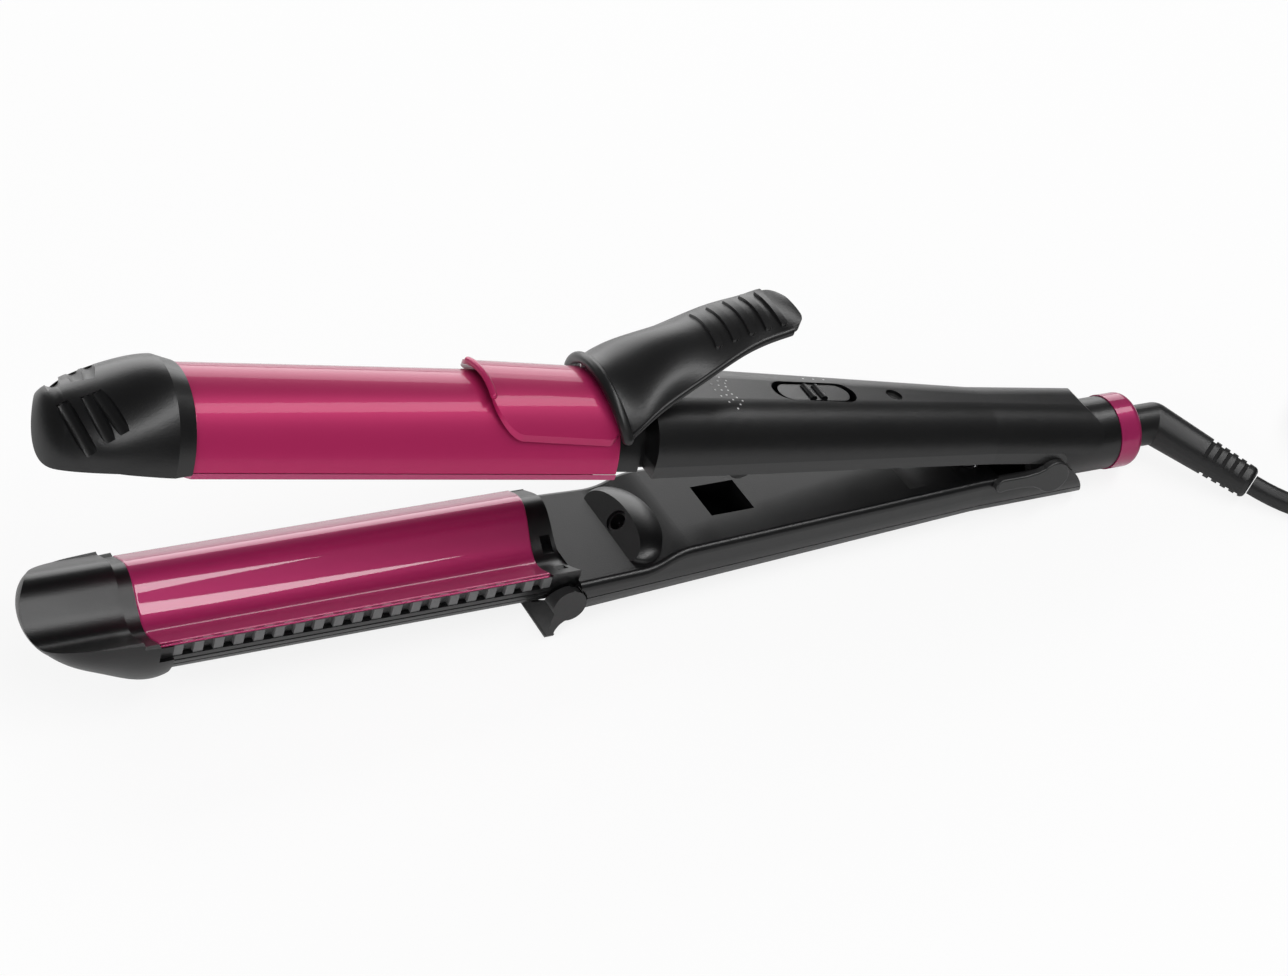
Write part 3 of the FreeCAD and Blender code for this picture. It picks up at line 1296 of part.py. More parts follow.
def stand_foot():
    """Rest foot: two round-headed cheeks joined by a bar that passes under the barrel."""
    tip_z = FOOT_BOTTOM + FOOT_TIP_R
    half = FOOT_HALF_WIDTH
    disc = rod_y(FOOT_DISC_R, -half, half, FOOT_PIVOT_X, FOOT_PIVOT_Z)
    tip = rod_y(FOOT_TIP_R, -half, half, FOOT_TIP_X, tip_z)
    front_high = Vector(FOOT_PIVOT_X - FOOT_DISC_R * 0.93, -half, FOOT_PIVOT_Z - FOOT_DISC_R * 0.35)
    front_low = Vector(FOOT_TIP_X - FOOT_TIP_R * 0.93, -half, tip_z + FOOT_TIP_R * 0.2)
    rear_low = Vector(FOOT_TIP_X + FOOT_TIP_R * 0.8, -half, tip_z + FOOT_TIP_R * 0.6)
    rear_mid = Vector(FOOT_TIP_X + FOOT_TIP_R * 2.4, -half, tip_z + FOOT_TIP_R * 2.9)
    rear_high = Vector(FOOT_PIVOT_X + FOOT_DISC_R * 0.5, -half, FOOT_PIVOT_Z - FOOT_DISC_R * 0.86)
    edges = polyline([rear_high, front_high, front_low, rear_low])
    edges.append(Part.Arc(rear_low, rear_mid, rear_high).toShape())
    fang = Part.Face(Part.Wire(edges)).extrude(Vector(0, 2 * half, 0))
    body = disc.fuse(tip).fuse(fang).removeSplitter()
    body = body.cut(rod_x(COVER_R + FOOT_GAP, -FAR * 3, 0))
    body = body.cut(box(FOOT_PIVOT_X + 0.4, 0, -COVER_R - 0.2, COVER_R + 0.2, -FAR, 0))
    block = box(-FAR * 3, 0, -half - 0.1, half + 0.1, FOOT_BOTTOM - 0.1, FAR)
    floor = FOOT_BOTTOM - 0.1
    low_edges = [e for e in block.Edges if abs(e.CenterOfMass.z - floor) < 0.01 and e.Length > FAR * 2]
    body = body.common(block.makeFillet(FOOT_ROUND, low_edges))
    reach = half - 0.9
    return body.cut(rod_y(FOOT_SHAFT_R + RUNNING_GAP, -reach, reach, FOOT_PIVOT_X, FOOT_PIVOT_Z))


def stand_shaft():
    """Shaft of the rest foot, through the barrel cover."""
    reach = FOOT_HALF_WIDTH - 1.1
    return rod_y(FOOT_SHAFT_R, -reach, reach, FOOT_PIVOT_X, FOOT_PIVOT_Z)


def bored_for_shaft(shape):
    """Barrel cover and end block with the shaft's hole."""
    return shape.cut(rod_y(FOOT_SHAFT_R + SEAT_GAP / 2, -FAR, FAR, FOOT_PIVOT_X, FOOT_PIVOT_Z))


def add(name, body, shape):
    """Keep a sub-part under its node name and moving body."""
    NODES[name] = (body, shape)


def build_lower():
    """Every piece that stays with the lower arm."""
    add("lower_barrel_cover", "lower", bored_for_shaft(lower_cover()))
    add("vent_comb_near", "lower", vent_comb())
    add("vent_comb_far", "lower", far_comb())
    add("lower_plate", "lower", lower_plate())
    add("lower_heater_block", "lower", heater_block(-1))
    add("lower_heating_element", "lower", heating_element(-1))
    add("lower_saddle_front", "lower", saddle(-1, PLATE_LEFT + SADDLE_INSET))
    add("lower_saddle_rear", "lower", saddle(-1, heated_end(-1) - SADDLE_INSET - SADDLE_LENGTH))
    add("lower_cap", "lower", lower_cap())
    add("lower_cap_screw", "lower", cap_screw(-SCREW_Z))
    add("lower_end_block", "lower", lower_end_block())
    add("lower_handle_shell", "lower", lower_handle_shell())
    add("lower_inner_cover", "lower", lower_inner_cover())
    add("ion_nozzle", "lower", ion_nozzle())
    add("ion_needle", "lower", ion_needle())
    add("latch_well", "lower", latch_well())
    add("latch_catch", "lower", latch_catch())
    add("hinge_ear_near", "lower", hinge_ear())
    add("hinge_ear_far", "lower", mirrored(hinge_ear()))
    add("hinge_pin", "lower", hinge_pin())
    add("spring_cup", "lower", spring_cup())
    add("opening_spring", "lower", opening_spring())
    add("cord_collar", "lower", cord_collar())
    add("trim_ring", "lower", trim_ring())
    add("stand_shaft", "lower", stand_shaft())


def far_comb():
    """Far vent comb; its top follows the other side of the wave."""
    x0, x1 = comb_start(), comb_end()
    return mirrored(vent_comb()).common(wave_side(x0, x1, -HALF_GAP - PLATE_SHEET, -1))


def build_upper():
    """Every piece that swings with the upper arm."""
    add("upper_barrel_shell", "upper", upper_barrel_shell())
    add("upper_plate", "upper", upper_plate())
    add("upper_heater_block", "upper", heater_block(1))
    add("upper_heating_element", "upper", heating_element(1))
    add("upper_saddle_front", "upper", saddle(1, PLATE_LEFT + SADDLE_INSET))
    add("upper_saddle_rear", "upper", saddle(1, heated_end(1) - SADDLE_INSET - SADDLE_LENGTH))
    add("tip_cap", "upper", tip_cap())
    add("tip_cap_screw", "upper", cap_screw(SCREW_Z))
    add("neck_ring", "upper", neck_ring())
    add("upper_handle_shell", "upper", upper_handle_shell())
    add("upper_inner_cover", "upper", upper_inner_cover())
    add("circuit_board", "upper", circuit_board())
    add("switch_housing", "upper", switch_housing())
    add("led_lens", "upper", led_lens())
    add("latch_hook", "upper", latch_hook())
    add("lever_pin", "upper", lever_pin())
    add("lever_spring_near", "upper", lever_spring(-1))
    add("lever_spring_far", "upper", lever_spring(1))
    add("switch_slider", "slider", switch_slider())
    add("clip_sheet", "lever", clip_sheet())
    add("thumb_lever", "lever", thumb_lever())
    add("clip_rivet_near", "lever", clip_rivet(-1))
    add("clip_rivet_far", "lever", clip_rivet(1))


def heading(degrees):
    """Level direction at a compass angle."""
    return Vector(math.cos(math.radians(degrees)), math.sin(math.radians(degrees)), 0)


def route_wire(points):
    """Straight runs joined by arcs as large as the runs allow."""
    edges = []
    start = points[0]
    radii = []
    for before, corner, after in zip(points[:-2], points[1:-1], points[2:]):
        run_in = corner - before
        run_out = after - corner
        turn = run_in.getAngle(run_out)
        reach = 0.45 * min(run_in.Length, run_out.Length)
        radii.append(round(reach / math.tan(turn / 2), 1))
        a = corner - run_in.normalize() * reach
        b = corner + run_out.normalize() * reach
        edges.append(Part.LineSegment(start, a).toShape())
        edges.append(corner_arc(a, corner, b))
        start = b
    edges.append(Part.LineSegment(start, points[-1]).toShape())
    print("arc radii of the route", radii)
    return edges


def cord_tube(points):
    """Tube of the lead along a route, with its volume compared with section times length."""
    edges = route_wire(points)
    length = sum(e.Length for e in edges)
    tube = swept_tube(edges, CORD_R)
    print("route length", round(length, 1), "volume ratio",
          round(tube.Volume / (math.pi * CORD_R ** 2 * length), 4))
    return tube


def stepped_route(start, angle, steps, drop):
    """Route points on the table: each step turns and runs on; drop lists the heights."""
    points = [start]
    for (length, turn), height in zip(steps, drop):
        angle += turn
        place = points[-1] + heading(angle) * length
        points.append(Vector(place.x, place.y, height))
    return points, angle


def hank_runs():
    """Distance from the hank's middle and the height at both ends of each run, in their order."""
    runs = []
    distance = HANK_FOLD + HANK_STEPS * CORD_PITCH / 2
    height = 0.0
    way = -1
    count = HANK_LAYERS * HANK_STEPS
    for i in range(count):
        turning = i > 0 and i % HANK_STEPS == 0
        climbs = turning or i == count - 1
        rise = CORD_PITCH if climbs else 0.0
        runs.append((distance, height, height + rise))
        if turning:
            way = -way
        distance += way * CORD_PITCH / 2
        height += rise
    return runs


def climbing_run(start, end):
    """Run of the hank; where it climbs, two wide arcs lift it smoothly."""
    rise = end.z - start.z
    if rise == 0:
        return [Part.makeLine(start, end)]
    length = end.x - start.x
    bend = (length ** 2 + rise ** 2) / (4 * rise)
    sag = bend - math.sqrt(bend ** 2 - (length / 4) ** 2)
    middle = (start + end) / 2
    early = Vector(start.x + length / 4, start.y, start.z + sag)
    late = Vector(end.x - length / 4, end.y, end.z - sag)
    return [Part.Arc(start, early, middle).toShape(), Part.Arc(middle, late, end).toShape()]


def hank_edges():
    """Path of the stored lead along X: parallel runs joined by half turns, in and out by turns."""
    runs = hank_runs()
    edges = []
    for i, (distance, low, high) in enumerate(runs):
        side = -1 if i % 2 == 0 else 1
        x0, x1 = (0, HANK_RUN) if side < 0 else (HANK_RUN, 0)
        end = Vector(x1, side * distance, high)
        edges += climbing_run(Vector(x0, side * distance, low), end)
        after = runs[i + 1][0] if i + 1 < len(runs) else HANK_FOLD
        radius = (distance + after) / 2
        outermost = Vector(x1 - side * radius, side * (distance - after) / 2, high)
        edges.append(Part.Arc(end, outermost, Vector(x1, -side * after, high)).toShape())
    first = Vector(0, -runs[0][0], 0)
    last = Vector(0, -HANK_FOLD, runs[-1][2])
    along = Vector(2 * CORD_R, 0, 0)
    return [Part.makeLine(first - along, first)] + edges + [Part.makeLine(last, last + along)]


def cord_coil(frame):
    """The stored lead: one tube folded into a flat hank, three layers high."""
    edges = hank_edges()
    for edge in edges:
        edge.Placement = frame.multiply(edge.Placement)
    print("hank length", round(sum(e.Length for e in edges), 1), "least gap", hank_gap(edges))
    return swept_tube(edges, CORD_R)


def hank_gap(edges):
    """Least distance between the surfaces of neighbouring turns, on points about 2 mm apart."""
    places = []
    for edge in edges:
        count = max(2, round(edge.Length / 2))
        places += edge.discretize(Number=count + 1)[:-1]
    apart = round(40 / 2)
    least = min((p - q).Length for i, p in enumerate(places) for q in places[i + apart:])
    return round(least - 2 * CORD_R, 3)


def plug_body(point, angle):
    """Flat two-pin plug lying on the table, with a tapered neck towards its lead."""
    shift = FreeCAD.Placement(point, FreeCAD.Rotation(Vector(0, 0, 1), angle))
    neck = Part.makeCone(CORD_R + 1.0, 5.6, PLUG_NECK, Vector(0, 0, 0), Vector(1, 0, 0))
    x0 = PLUG_NECK - 1.0
    x1 = x0 + PLUG_LENGTH
    half = PLUG_THICKNESS / 2
    wires = []
    for x, w, h in ((x0, 7.0, 5.8), (x0 + 10, 11.5, half), (x1 - 9, PLUG_WIDTH / 2, half),
                    (x1, PLUG_WIDTH / 2, half)):
        bevel = 4.6 * h / half
        points = [(-w, 0), (-w + bevel, h), (w - bevel, h), (w, 0), (w - bevel, -h), (-w + bevel, -h)]
        wires.append(Part.makePolygon([Vector(x, y, z) for y, z in points + points[:1]]))
    body = Part.makeLoft(wires, True, True).fuse(neck)
    for sign in (-1, 1):
        y = sign * PLUG_PIN_SPACING / 2
        body = body.cut(rod_x(PLUG_PIN_R + SEAT_GAP / 2, x1 - 8, x1 + 1, y))
    body.Placement = shift
    return body


def plug_pin(point, angle, sign):
    """Round-ended contact pin."""
    x1 = PLUG_NECK - 1.0 + PLUG_LENGTH
    y = sign * PLUG_PIN_SPACING / 2
    tip = x1 + PLUG_PIN_LENGTH - PLUG_PIN_R
    pin = rod_x(PLUG_PIN_R, x1 - 8, tip, y).fuse(Part.makeSphere(PLUG_PIN_R, Vector(tip, y, 0)))
    pin = pin.removeSplitter()
    pin.Placement = FreeCAD.Placement(point, FreeCAD.Rotation(Vector(0, 0, 1), angle))
    return pin


def lay_cord(knee, along):
    """Lead, hank, tail and plug on the table, from the knee of the elbow outwards."""
    floor = CORD_R + 0.05
    start = knee + along * (ELBOW_LENGTH + SLEEVE_GAP)
    first = start + along * ((floor - start.z) / along.z)
    angle = math.degrees(math.atan2(along.y, along.x))
    steps = LEAD_STEPS + [(LEAD_LAST, -angle - sum(turn for _, turn in LEAD_STEPS))]
    points = stepped_route(first, angle, steps, [floor] * len(steps))[0]
    entry = points[-1] + Vector(2 * CORD_R, 0, 0)
    lead = [start] + points
    runs = hank_runs()
    frame = FreeCAD.Placement(entry + Vector(0, runs[0][0], 0), FreeCAD.Rotation())
    coil = cord_coil(frame)
    leave = frame.multVec(Vector(2 * CORD_R, -HANK_FOLD, runs[-1][2]))
    pile = floor + CORD_R + CORD_PITCH * (HANK_LAYERS - 1)
    rest = pile + PLUG_THICKNESS / 2 + 0.05
    tail, angle = stepped_route(leave, 0.0, TAIL_STEPS, [leave.z, rest, rest])
    print("lead route", lead)
    print("hank from", frame.multVec(Vector(0, 0, 0)), "runs", runs)
    print("tail route", tail)
    pieces = {"cord_lead": cord_tube(lead), "cord_coil": coil, "cord_tail": cord_tube(tail)}
    pieces["plug_body"] = plug_body(tail[-1], angle)
    pieces["plug_pin_near"] = plug_pin(tail[-1], angle, -1)
    pieces["plug_pin_far"] = plug_pin(tail[-1], angle, 1)
    return pieces


def rest_angle():
    """Tilt that sets the foot's tip and the handle's rear edge on one level."""
    foot = Vector(FOOT_TIP_X, 0, FOOT_BOTTOM + FOOT_TIP_R)
    rear = Vector(HANDLE_REAR, 0, -lower_section(HANDLE_REAR)[1])
    span = rear - foot
    lean = math.atan2(span.z, span.x)
    return lean + math.asin(FOOT_TIP_R / math.hypot(span.x, span.z))


def main():
    """Build all the pieces, set the object on the table and write its files."""
    os.makedirs("parts", exist_ok=True)
    build_lower()
    build_upper()
    add("stand_foot", "stand", stand_foot())
    add("cord_elbow", "swivel", cord_elbow())
    add("swivel_retainer", "swivel", swivel_retainer())
    tilt = math.degrees(rest_angle())
    for name, (body, shape) in NODES.items():
        if body in ("upper", "lever", "slider"):
            shape.rotate(Vector(0, 0, 0), Vector(0, 1, 0), OPEN_ANGLE)
        shape.rotate(Vector(0, 0, 0), Vector(0, 1, 0), tilt)
    whole = FreeCAD.BoundBox()
    for body, shape in NODES.values():
        whole.add(shape.optimalBoundingBox(False, False))
    shift = Vector(-whole.Center.x, -whole.Center.y, -whole.ZMin)
    for body, shape in NODES.values():
        shape.translate(shift)
    lean = FreeCAD.Rotation(Vector(0, 1, 0), tilt)
    knee = lean.multVec(Vector(ELBOW_KNEE, 0, 0)) + shift
    for name, shape in lay_cord(knee, lean.multVec(elbow_direction())).items():
        add(name, "cord", shape)
    for name, (body, shape) in NODES.items():
        shape.exportStep("parts/" + name + ".step")
        if not shape.isValid() or len(shape.Solids) != 1:
            print("check", name, shape.isValid(), len(shape.Solids))
    print("rest tilt", round(tilt, 3), "hinge at", shift)
    print("size", whole.XLength, whole.YLength, whole.ZLength)


main()
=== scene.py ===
import json
import math

import bpy
import numpy as np
from mathutils import Matrix, Vector


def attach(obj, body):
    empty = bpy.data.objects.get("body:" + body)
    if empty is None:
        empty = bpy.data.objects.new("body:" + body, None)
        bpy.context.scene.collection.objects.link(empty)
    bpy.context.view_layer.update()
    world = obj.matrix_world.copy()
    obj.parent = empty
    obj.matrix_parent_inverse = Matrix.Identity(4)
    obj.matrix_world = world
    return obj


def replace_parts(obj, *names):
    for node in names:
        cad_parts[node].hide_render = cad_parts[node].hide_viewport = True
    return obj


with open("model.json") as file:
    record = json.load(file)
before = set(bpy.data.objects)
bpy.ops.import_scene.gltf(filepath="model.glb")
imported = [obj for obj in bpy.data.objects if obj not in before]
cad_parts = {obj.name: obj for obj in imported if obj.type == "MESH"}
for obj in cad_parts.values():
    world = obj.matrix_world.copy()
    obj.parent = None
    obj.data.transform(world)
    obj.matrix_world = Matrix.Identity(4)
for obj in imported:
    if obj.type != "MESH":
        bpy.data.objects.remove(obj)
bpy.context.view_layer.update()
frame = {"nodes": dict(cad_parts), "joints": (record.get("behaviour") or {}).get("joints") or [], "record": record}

# Where the two arms meet and how far each leans from the table, read from the frame
JOINTS = {joint["name"]: joint for joint in frame["joints"]}
HINGE = np.array(JOINTS["arm_hinge"]["pos_m"])
LEAD_AXIS = np.array(JOINTS["lead_swivel"]["axis"])
SLIDE_AXIS = np.array(JOINTS["switch_slide"]["axis"])
LOWER_LEAN = math.atan2(-LEAD_AXIS[2], LEAD_AXIS[0])
UPPER_LEAN = math.atan2(-SLIDE_AXIS[2], SLIDE_AXIS[0])

# The photograph's camera: its place from the hinge, its aim and its roll
PHOTO_SIZE = (1288, 976)
CAMERA_FROM_HINGE = (-0.40312, -0.47500, 0.42479)
CAMERA_AZIMUTH = -31.581
CAMERA_ELEVATION = 36.542
CAMERA_ROLL = 8.551
FOCAL_PIXELS = 2914.1
SENSOR = 36.0

# The floor paper: its half side, its colour, and how far the camera sees it lifted to white
FLOOR_HALF, FLOOR_COLOR, FLOOR_GLOW = 6.0, (0.93, 0.93, 0.93), 0.85

# The surround's strength as a light, and as the camera sees it
SURROUND_LIGHT, SURROUND_SEEN = 0.1, 1.0

# Sizes of the pieces that are worked out here, in metres along a closed arm from the hinge pin
BARREL_R = 0.016
BARREL_WALL = 0.0012
PLATE_LEFT, PLATE_RIGHT, PLATE_RAKE = -0.2371, -0.1408, 0.119
PLATE_LIFT, PLATE_SHEET = 0.00015, 0.0014
NECK_START = -0.1325
WAVE_HEIGHT, WAVE_SKEW = 0.0037, 0.00046
EDGE_R = 0.00028
SPLIT_STEPS = 4001

# How finely the two lacquered pieces are drawn: a count of steps, and the share that each rim takes
PLATE_ACROSS, PLATE_ALONG = (64, 0.02), (40, 0.006)
SHELL_AROUND, SHELL_ALONG = (96, 0.008), (36, 0.004)
INNER_ROUND = 0.5

# Moulded grain: the rise of its bumps in metres, and the scale of its slow wander
GRAIN_RISE, WANDER_SCALE = 0.00008, 55

# Printed dots on the upper handle: three rings in a fan, and three marks beside the switch
FAN_MIDDLE, FAN_START, FAN_STEP, FAN_RINGS, FAN_DOTS = (-0.0928, -0.0010), 0.0059, 0.00185, 3, 7
FAN_TURN = math.radians(15.3)
MARK_START, MARK_STEP, MARKS = (-0.0725, 0.0060), 0.0031, 3
DOT_R = 0.00026

# The lead's route on the table, the hank that it is folded into, and the way on to the plug
CORD_R = 0.0027
LEAD_ROUTE = [(0.15887, -0.02059, 0.00446), (0.16335, -0.02711, 0.00275), (0.17317, -0.03710, 0.00275),
              (0.19014, -0.04310, 0.00275), (0.20814, -0.04310, 0.00275)]
HANK_CORNER = (0.21354, -0.01530, 0.00275)
HANK_RUN, HANK_FOLD, CORD_PITCH = 0.068, 0.016, 0.0059
HANK_STEPS, HANK_LAYERS = 4, 3
FOLD_STEP = 30
TAIL_ROUTE = [(0.21894, -0.03130, 0.02045), (0.22894, -0.03130, 0.02045), (0.24891, -0.03026, 0.02415),
              (0.25891, -0.03026, 0.02415)]


def arm_places(x, y, z, lean):
    """Whole arrays of places along an arm (metres from the hinge, arm closed) as places in the frame:
    the arm is turned about the hinge pin by its lean, and moved to the hinge."""
    c, s = math.cos(lean), math.sin(lean)
    x, y, z = np.broadcast_arrays(x, y, z)
    return HINGE + np.stack([x * c + z * s, y, -x * s + z * c], axis=-1)


def split_height(y):
    """Height of the split between the arms: one sine wave across the barrel and a little of its double."""
    turn = np.pi * y / BARREL_R
    return WAVE_HEIGHT * np.sin(turn) + WAVE_SKEW * np.sin(2 * turn)


def rim_drop(distance, radius=EDGE_R):
    """How far a rounded edge has fallen at a distance in from the rim: a quarter circle of that radius."""
    inward = np.clip(radius - distance, 0.0, radius)
    return radius - np.sqrt(radius ** 2 - inward ** 2)


def with_edges(count, margin):
    """Shares from 0 to 1, evenly spread but with four extra ones close to each end for a rounded edge."""
    near = margin * np.array([0.0, 0.08, 0.3, 0.65])
    return np.concatenate([near, np.linspace(margin, 1 - margin, count), 1 - near[::-1]])


def grid_faces(rows, columns, start=0):
    """Quads of a grid of vertices numbered row by row from start."""
    index = start + np.arange(rows * columns).reshape(rows, columns)
    corners = [index[:-1, :-1], index[1:, :-1], index[1:, 1:], index[:-1, 1:]]
    return np.stack([c.ravel() for c in corners], axis=-1)


def placed(name, data):
    """New object in the scene, at the origin."""
    made = bpy.data.objects.new(name, data)
    bpy.context.scene.collection.objects.link(made)
    return made


def make_piece(name, places, faces, body, finish):
    """Smooth mesh object from whole arrays of places and quads, turned outwards, riding on a body."""
    places = np.asarray(places, float).reshape(-1, 3)
    a, b, c, d = (places[faces[:, i]] for i in range(4))
    volume = np.sum(np.cross(a, b) * c) + np.sum(np.cross(a, c) * d)
    if volume < 0:
        faces = faces[:, ::-1]
    mesh = bpy.data.meshes.new(name)
    mesh.from_pydata(places.tolist(), [], faces.tolist())
    mesh.materials.append(finish)
    mesh.polygons.foreach_set("use_smooth", np.full(len(mesh.polygons), True))
    mesh.update()
    piece = placed(name, mesh)
    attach(piece, body)
    return piece


def closed_sheet(name, outer, inner, body, finish):
    """Closed sheet between two grids of the same size: both faces, and a band round their common rim."""
    rows, columns = outer.shape[:2]
    index = np.arange(rows * columns).reshape(rows, columns)
    rim = np.concatenate([index[0, :-1], index[:-1, -1], index[-1, :0:-1], index[:0:-1, 0]])
    onward = np.roll(rim, -1)
    far = rows * columns
    band = np.stack([rim, onward, onward + far, rim + far], axis=-1)
    faces = np.concatenate([grid_faces(rows, columns)[:, ::-1], grid_faces(rows, columns, far), band])
    places = np.concatenate([outer.reshape(-1, 3), inner.reshape(-1, 3)])
    return make_piece(name, places, faces, body, finish)


def make_lower_plate(finish):
    """Heated wave plate. Along it x runs from the cap to a slanted end, across it y runs over the barrel;
    the face is the split's height less half the gap, rounded down at every rim."""
    across = (with_edges(*PLATE_ACROSS) * 2 - 1) * BARREL_R
    along = with_edges(*PLATE_ALONG)[:, None]
    right = PLATE_RIGHT + PLATE_RAKE * across
    x = PLATE_LEFT + along * (right - PLATE_LEFT)
    fall = rim_drop(np.minimum(x - PLATE_LEFT, right - x)) + rim_drop(BARREL_R - np.abs(across))
    face = split_height(across) - PLATE_LIFT
    top = arm_places(x, across, face - fall, LOWER_LEAN)
    low = arm_places(x, across, face - PLATE_SHEET + fall * INNER_ROUND, LOWER_LEAN)
    piece = closed_sheet("lacquered_lower_plate", top, low, "lower_arm", finish)
    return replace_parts(piece, "lower_plate")


def split_angles(lift):
    """The two angles from the top at which a circle of the barrel's radius meets the split lifted by some
    metres, near side first: the first of many small steps whose place lies below it."""
    angle = np.linspace(0, np.pi, SPLIT_STEPS)
    ends = []
    for side in (-1, 1):
        above = BARREL_R * np.cos(angle) - split_height(side * BARREL_R * np.sin(angle)) - lift
        ends.append(side * angle[np.argmax(above < 0)])
    return ends


def make_upper_shell(finish):
    """Outer shell of the upper barrel. x runs from the tip cap to the neck and the angle from one split
    edge over the top to the other; the radius is the barrel's, less a rounded fall at the rims."""
    near, far = split_angles(PLATE_LIFT + PLATE_SHEET)
    angle = near + with_edges(*SHELL_AROUND) * (far - near)
    along = with_edges(*SHELL_ALONG)[:, None]
    x = PLATE_LEFT + along * (NECK_START - PLATE_LEFT)
    rim = np.minimum((angle - near), (far - angle)) * BARREL_R
    fall = rim_drop(np.minimum(x - PLATE_LEFT, NECK_START - x)) + rim_drop(rim)
    outer_r = BARREL_R - fall
    inner_r = BARREL_R - BARREL_WALL + fall * INNER_ROUND
    outer = arm_places(x, outer_r * np.sin(angle), outer_r * np.cos(angle), UPPER_LEAN)
    inner = arm_places(x, inner_r * np.sin(angle), inner_r * np.cos(angle), UPPER_LEAN)
    piece = closed_sheet("lacquered_upper_shell", outer, inner, "upper_arm", finish)
    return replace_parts(piece, "upper_barrel_shell")


def hank_distances():
    """Distance of each run from the hank's middle: it shrinks and grows by half a pitch a run, and turns
    back after every layer; the last one is the fold that the tail leaves."""
    phase = np.arange(HANK_LAYERS * HANK_STEPS + 1)
    inward = np.abs((phase + HANK_STEPS) % (2 * HANK_STEPS) - HANK_STEPS)
    return HANK_FOLD + (HANK_STEPS - inward) * CORD_PITCH / 2


def hank_points():
    """Points of the stored lead. Runs lie by turns on the near and the far side, joined by half turns of
    radius r; a fold's points lie r / cos(half a fold step) from its middle, and three points hold a run."""
    distance = hank_distances()
    count = len(distance) - 1
    index = np.arange(count)
    climbs = (index > 0) & (index % HANK_STEPS == 0) | (index == count - 1)
    high = np.cumsum(climbs) * CORD_PITCH
    low = high - climbs * CORD_PITCH
    side = np.where(index % 2 == 0, -1, 1)
    radius = (distance[:-1] + distance[1:]) / 2
    middle_y = side * (distance[:-1] - distance[1:]) / 2
    half_step = math.radians(FOLD_STEP / 2)
    turn = np.radians(np.arange(FOLD_STEP / 2, 180, FOLD_STEP))
    slack = math.tan(half_step) * np.concatenate([[HANK_FOLD], radius])
    points = []
    for i in range(count):
        start, end = (0.0, HANK_RUN) if side[i] < 0 else (HANK_RUN, 0.0)
        way, y = -side[i], side[i] * distance[i]
        points.append([(start + way * slack[i], y, low[i]), (HANK_RUN / 2, y, (low[i] + high[i]) / 2),
                       (end - way * slack[i + 1], y, high[i])])
        reach = radius[i] / math.cos(half_step)
        fold_x = end + way * reach * np.sin(turn)
        fold_y = middle_y[i] + side[i] * reach * np.cos(turn)
        points.append(np.stack([fold_x, fold_y, np.full(len(turn), high[i])], axis=-1))
    return np.concatenate(points) + HANK_CORNER


def make_cord(finish):
    """The mains lead as one smooth spline: from the sleeve over the table and the hank to the plug."""
    route = np.concatenate([LEAD_ROUTE, hank_points(), TAIL_ROUTE])
    curve = bpy.data.curves.new("mains_lead", "CURVE")
    curve.dimensions = "3D"
    curve.bevel_depth = CORD_R
    curve.bevel_resolution = 5
    curve.use_fill_caps = True
    curve.resolution_u = 5
    spline = curve.splines.new("NURBS")
    spline.points.add(len(route) - 1)
    spline.points.foreach_set("co", np.column_stack([route, np.ones(len(route))]).ravel())
    spline.order_u = 3
    spline.use_endpoint_u = True
    spline.use_smooth = True
    curve.materials.append(finish)
    piece = placed("mains_lead", curve)
    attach(piece, "lower_arm")
    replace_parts(piece, "cord_lead", "cord_coil", "cord_tail")
    return piece


def make_camera():
    """Camera with the photograph's view."""
    azimuth, elevation = math.radians(CAMERA_AZIMUTH), math.radians(CAMERA_ELEVATION)
    back = Vector((math.sin(azimuth) * math.cos(elevation), -math.cos(azimuth) * math.cos(elevation),
                   math.sin(elevation)))
    right = Vector((math.cos(azimuth), math.sin(azimuth), 0.0))
    up = back.cross(right)
    turn = math.radians(CAMERA_ROLL)
    rolled_right = right * math.cos(turn) + up * math.sin(turn)
    rolled_up = up * math.cos(turn) - right * math.sin(turn)
    data = bpy.data.cameras.new("photo_camera")
    data.sensor_fit = "HORIZONTAL"
    data.sensor_width = SENSOR
    data.lens = FOCAL_PIXELS / PHOTO_SIZE[0] * SENSOR
    data.clip_start = 0.01
    camera = placed("photo_camera", data)
    place = Vector(HINGE) + Vector(CAMERA_FROM_HINGE)
    turned = Matrix((rolled_right, rolled_up, back)).transposed().to_4x4()
    camera.matrix_world = Matrix.Translation(place) @ turned
    bpy.context.scene.camera = camera


def make_area(name, place, aim, width, height, brightness, mirrored=True):
    """Soft lamp at place, facing aim, its long side level; brightness is how white its face looks, and a
    lamp that isn't mirrored lights surfaces but shows in no reflection."""
    data = bpy.data.lights.new(name, "AREA")
    data.shape = "RECTANGLE"
    data.size = width
    data.size_y = height
    data.energy = brightness * math.pi * width * height
    lamp = placed(name, data)
    away = (Vector(place) - Vector(aim)).normalized()
    across = Vector((0, 0, 1)).cross(away).normalized()
    turned = Matrix((across, away.cross(across), away)).transposed().to_4x4()
    lamp.matrix_world = Matrix.Translation(Vector(place)) @ turned
    lamp.visible_glossy = mirrored


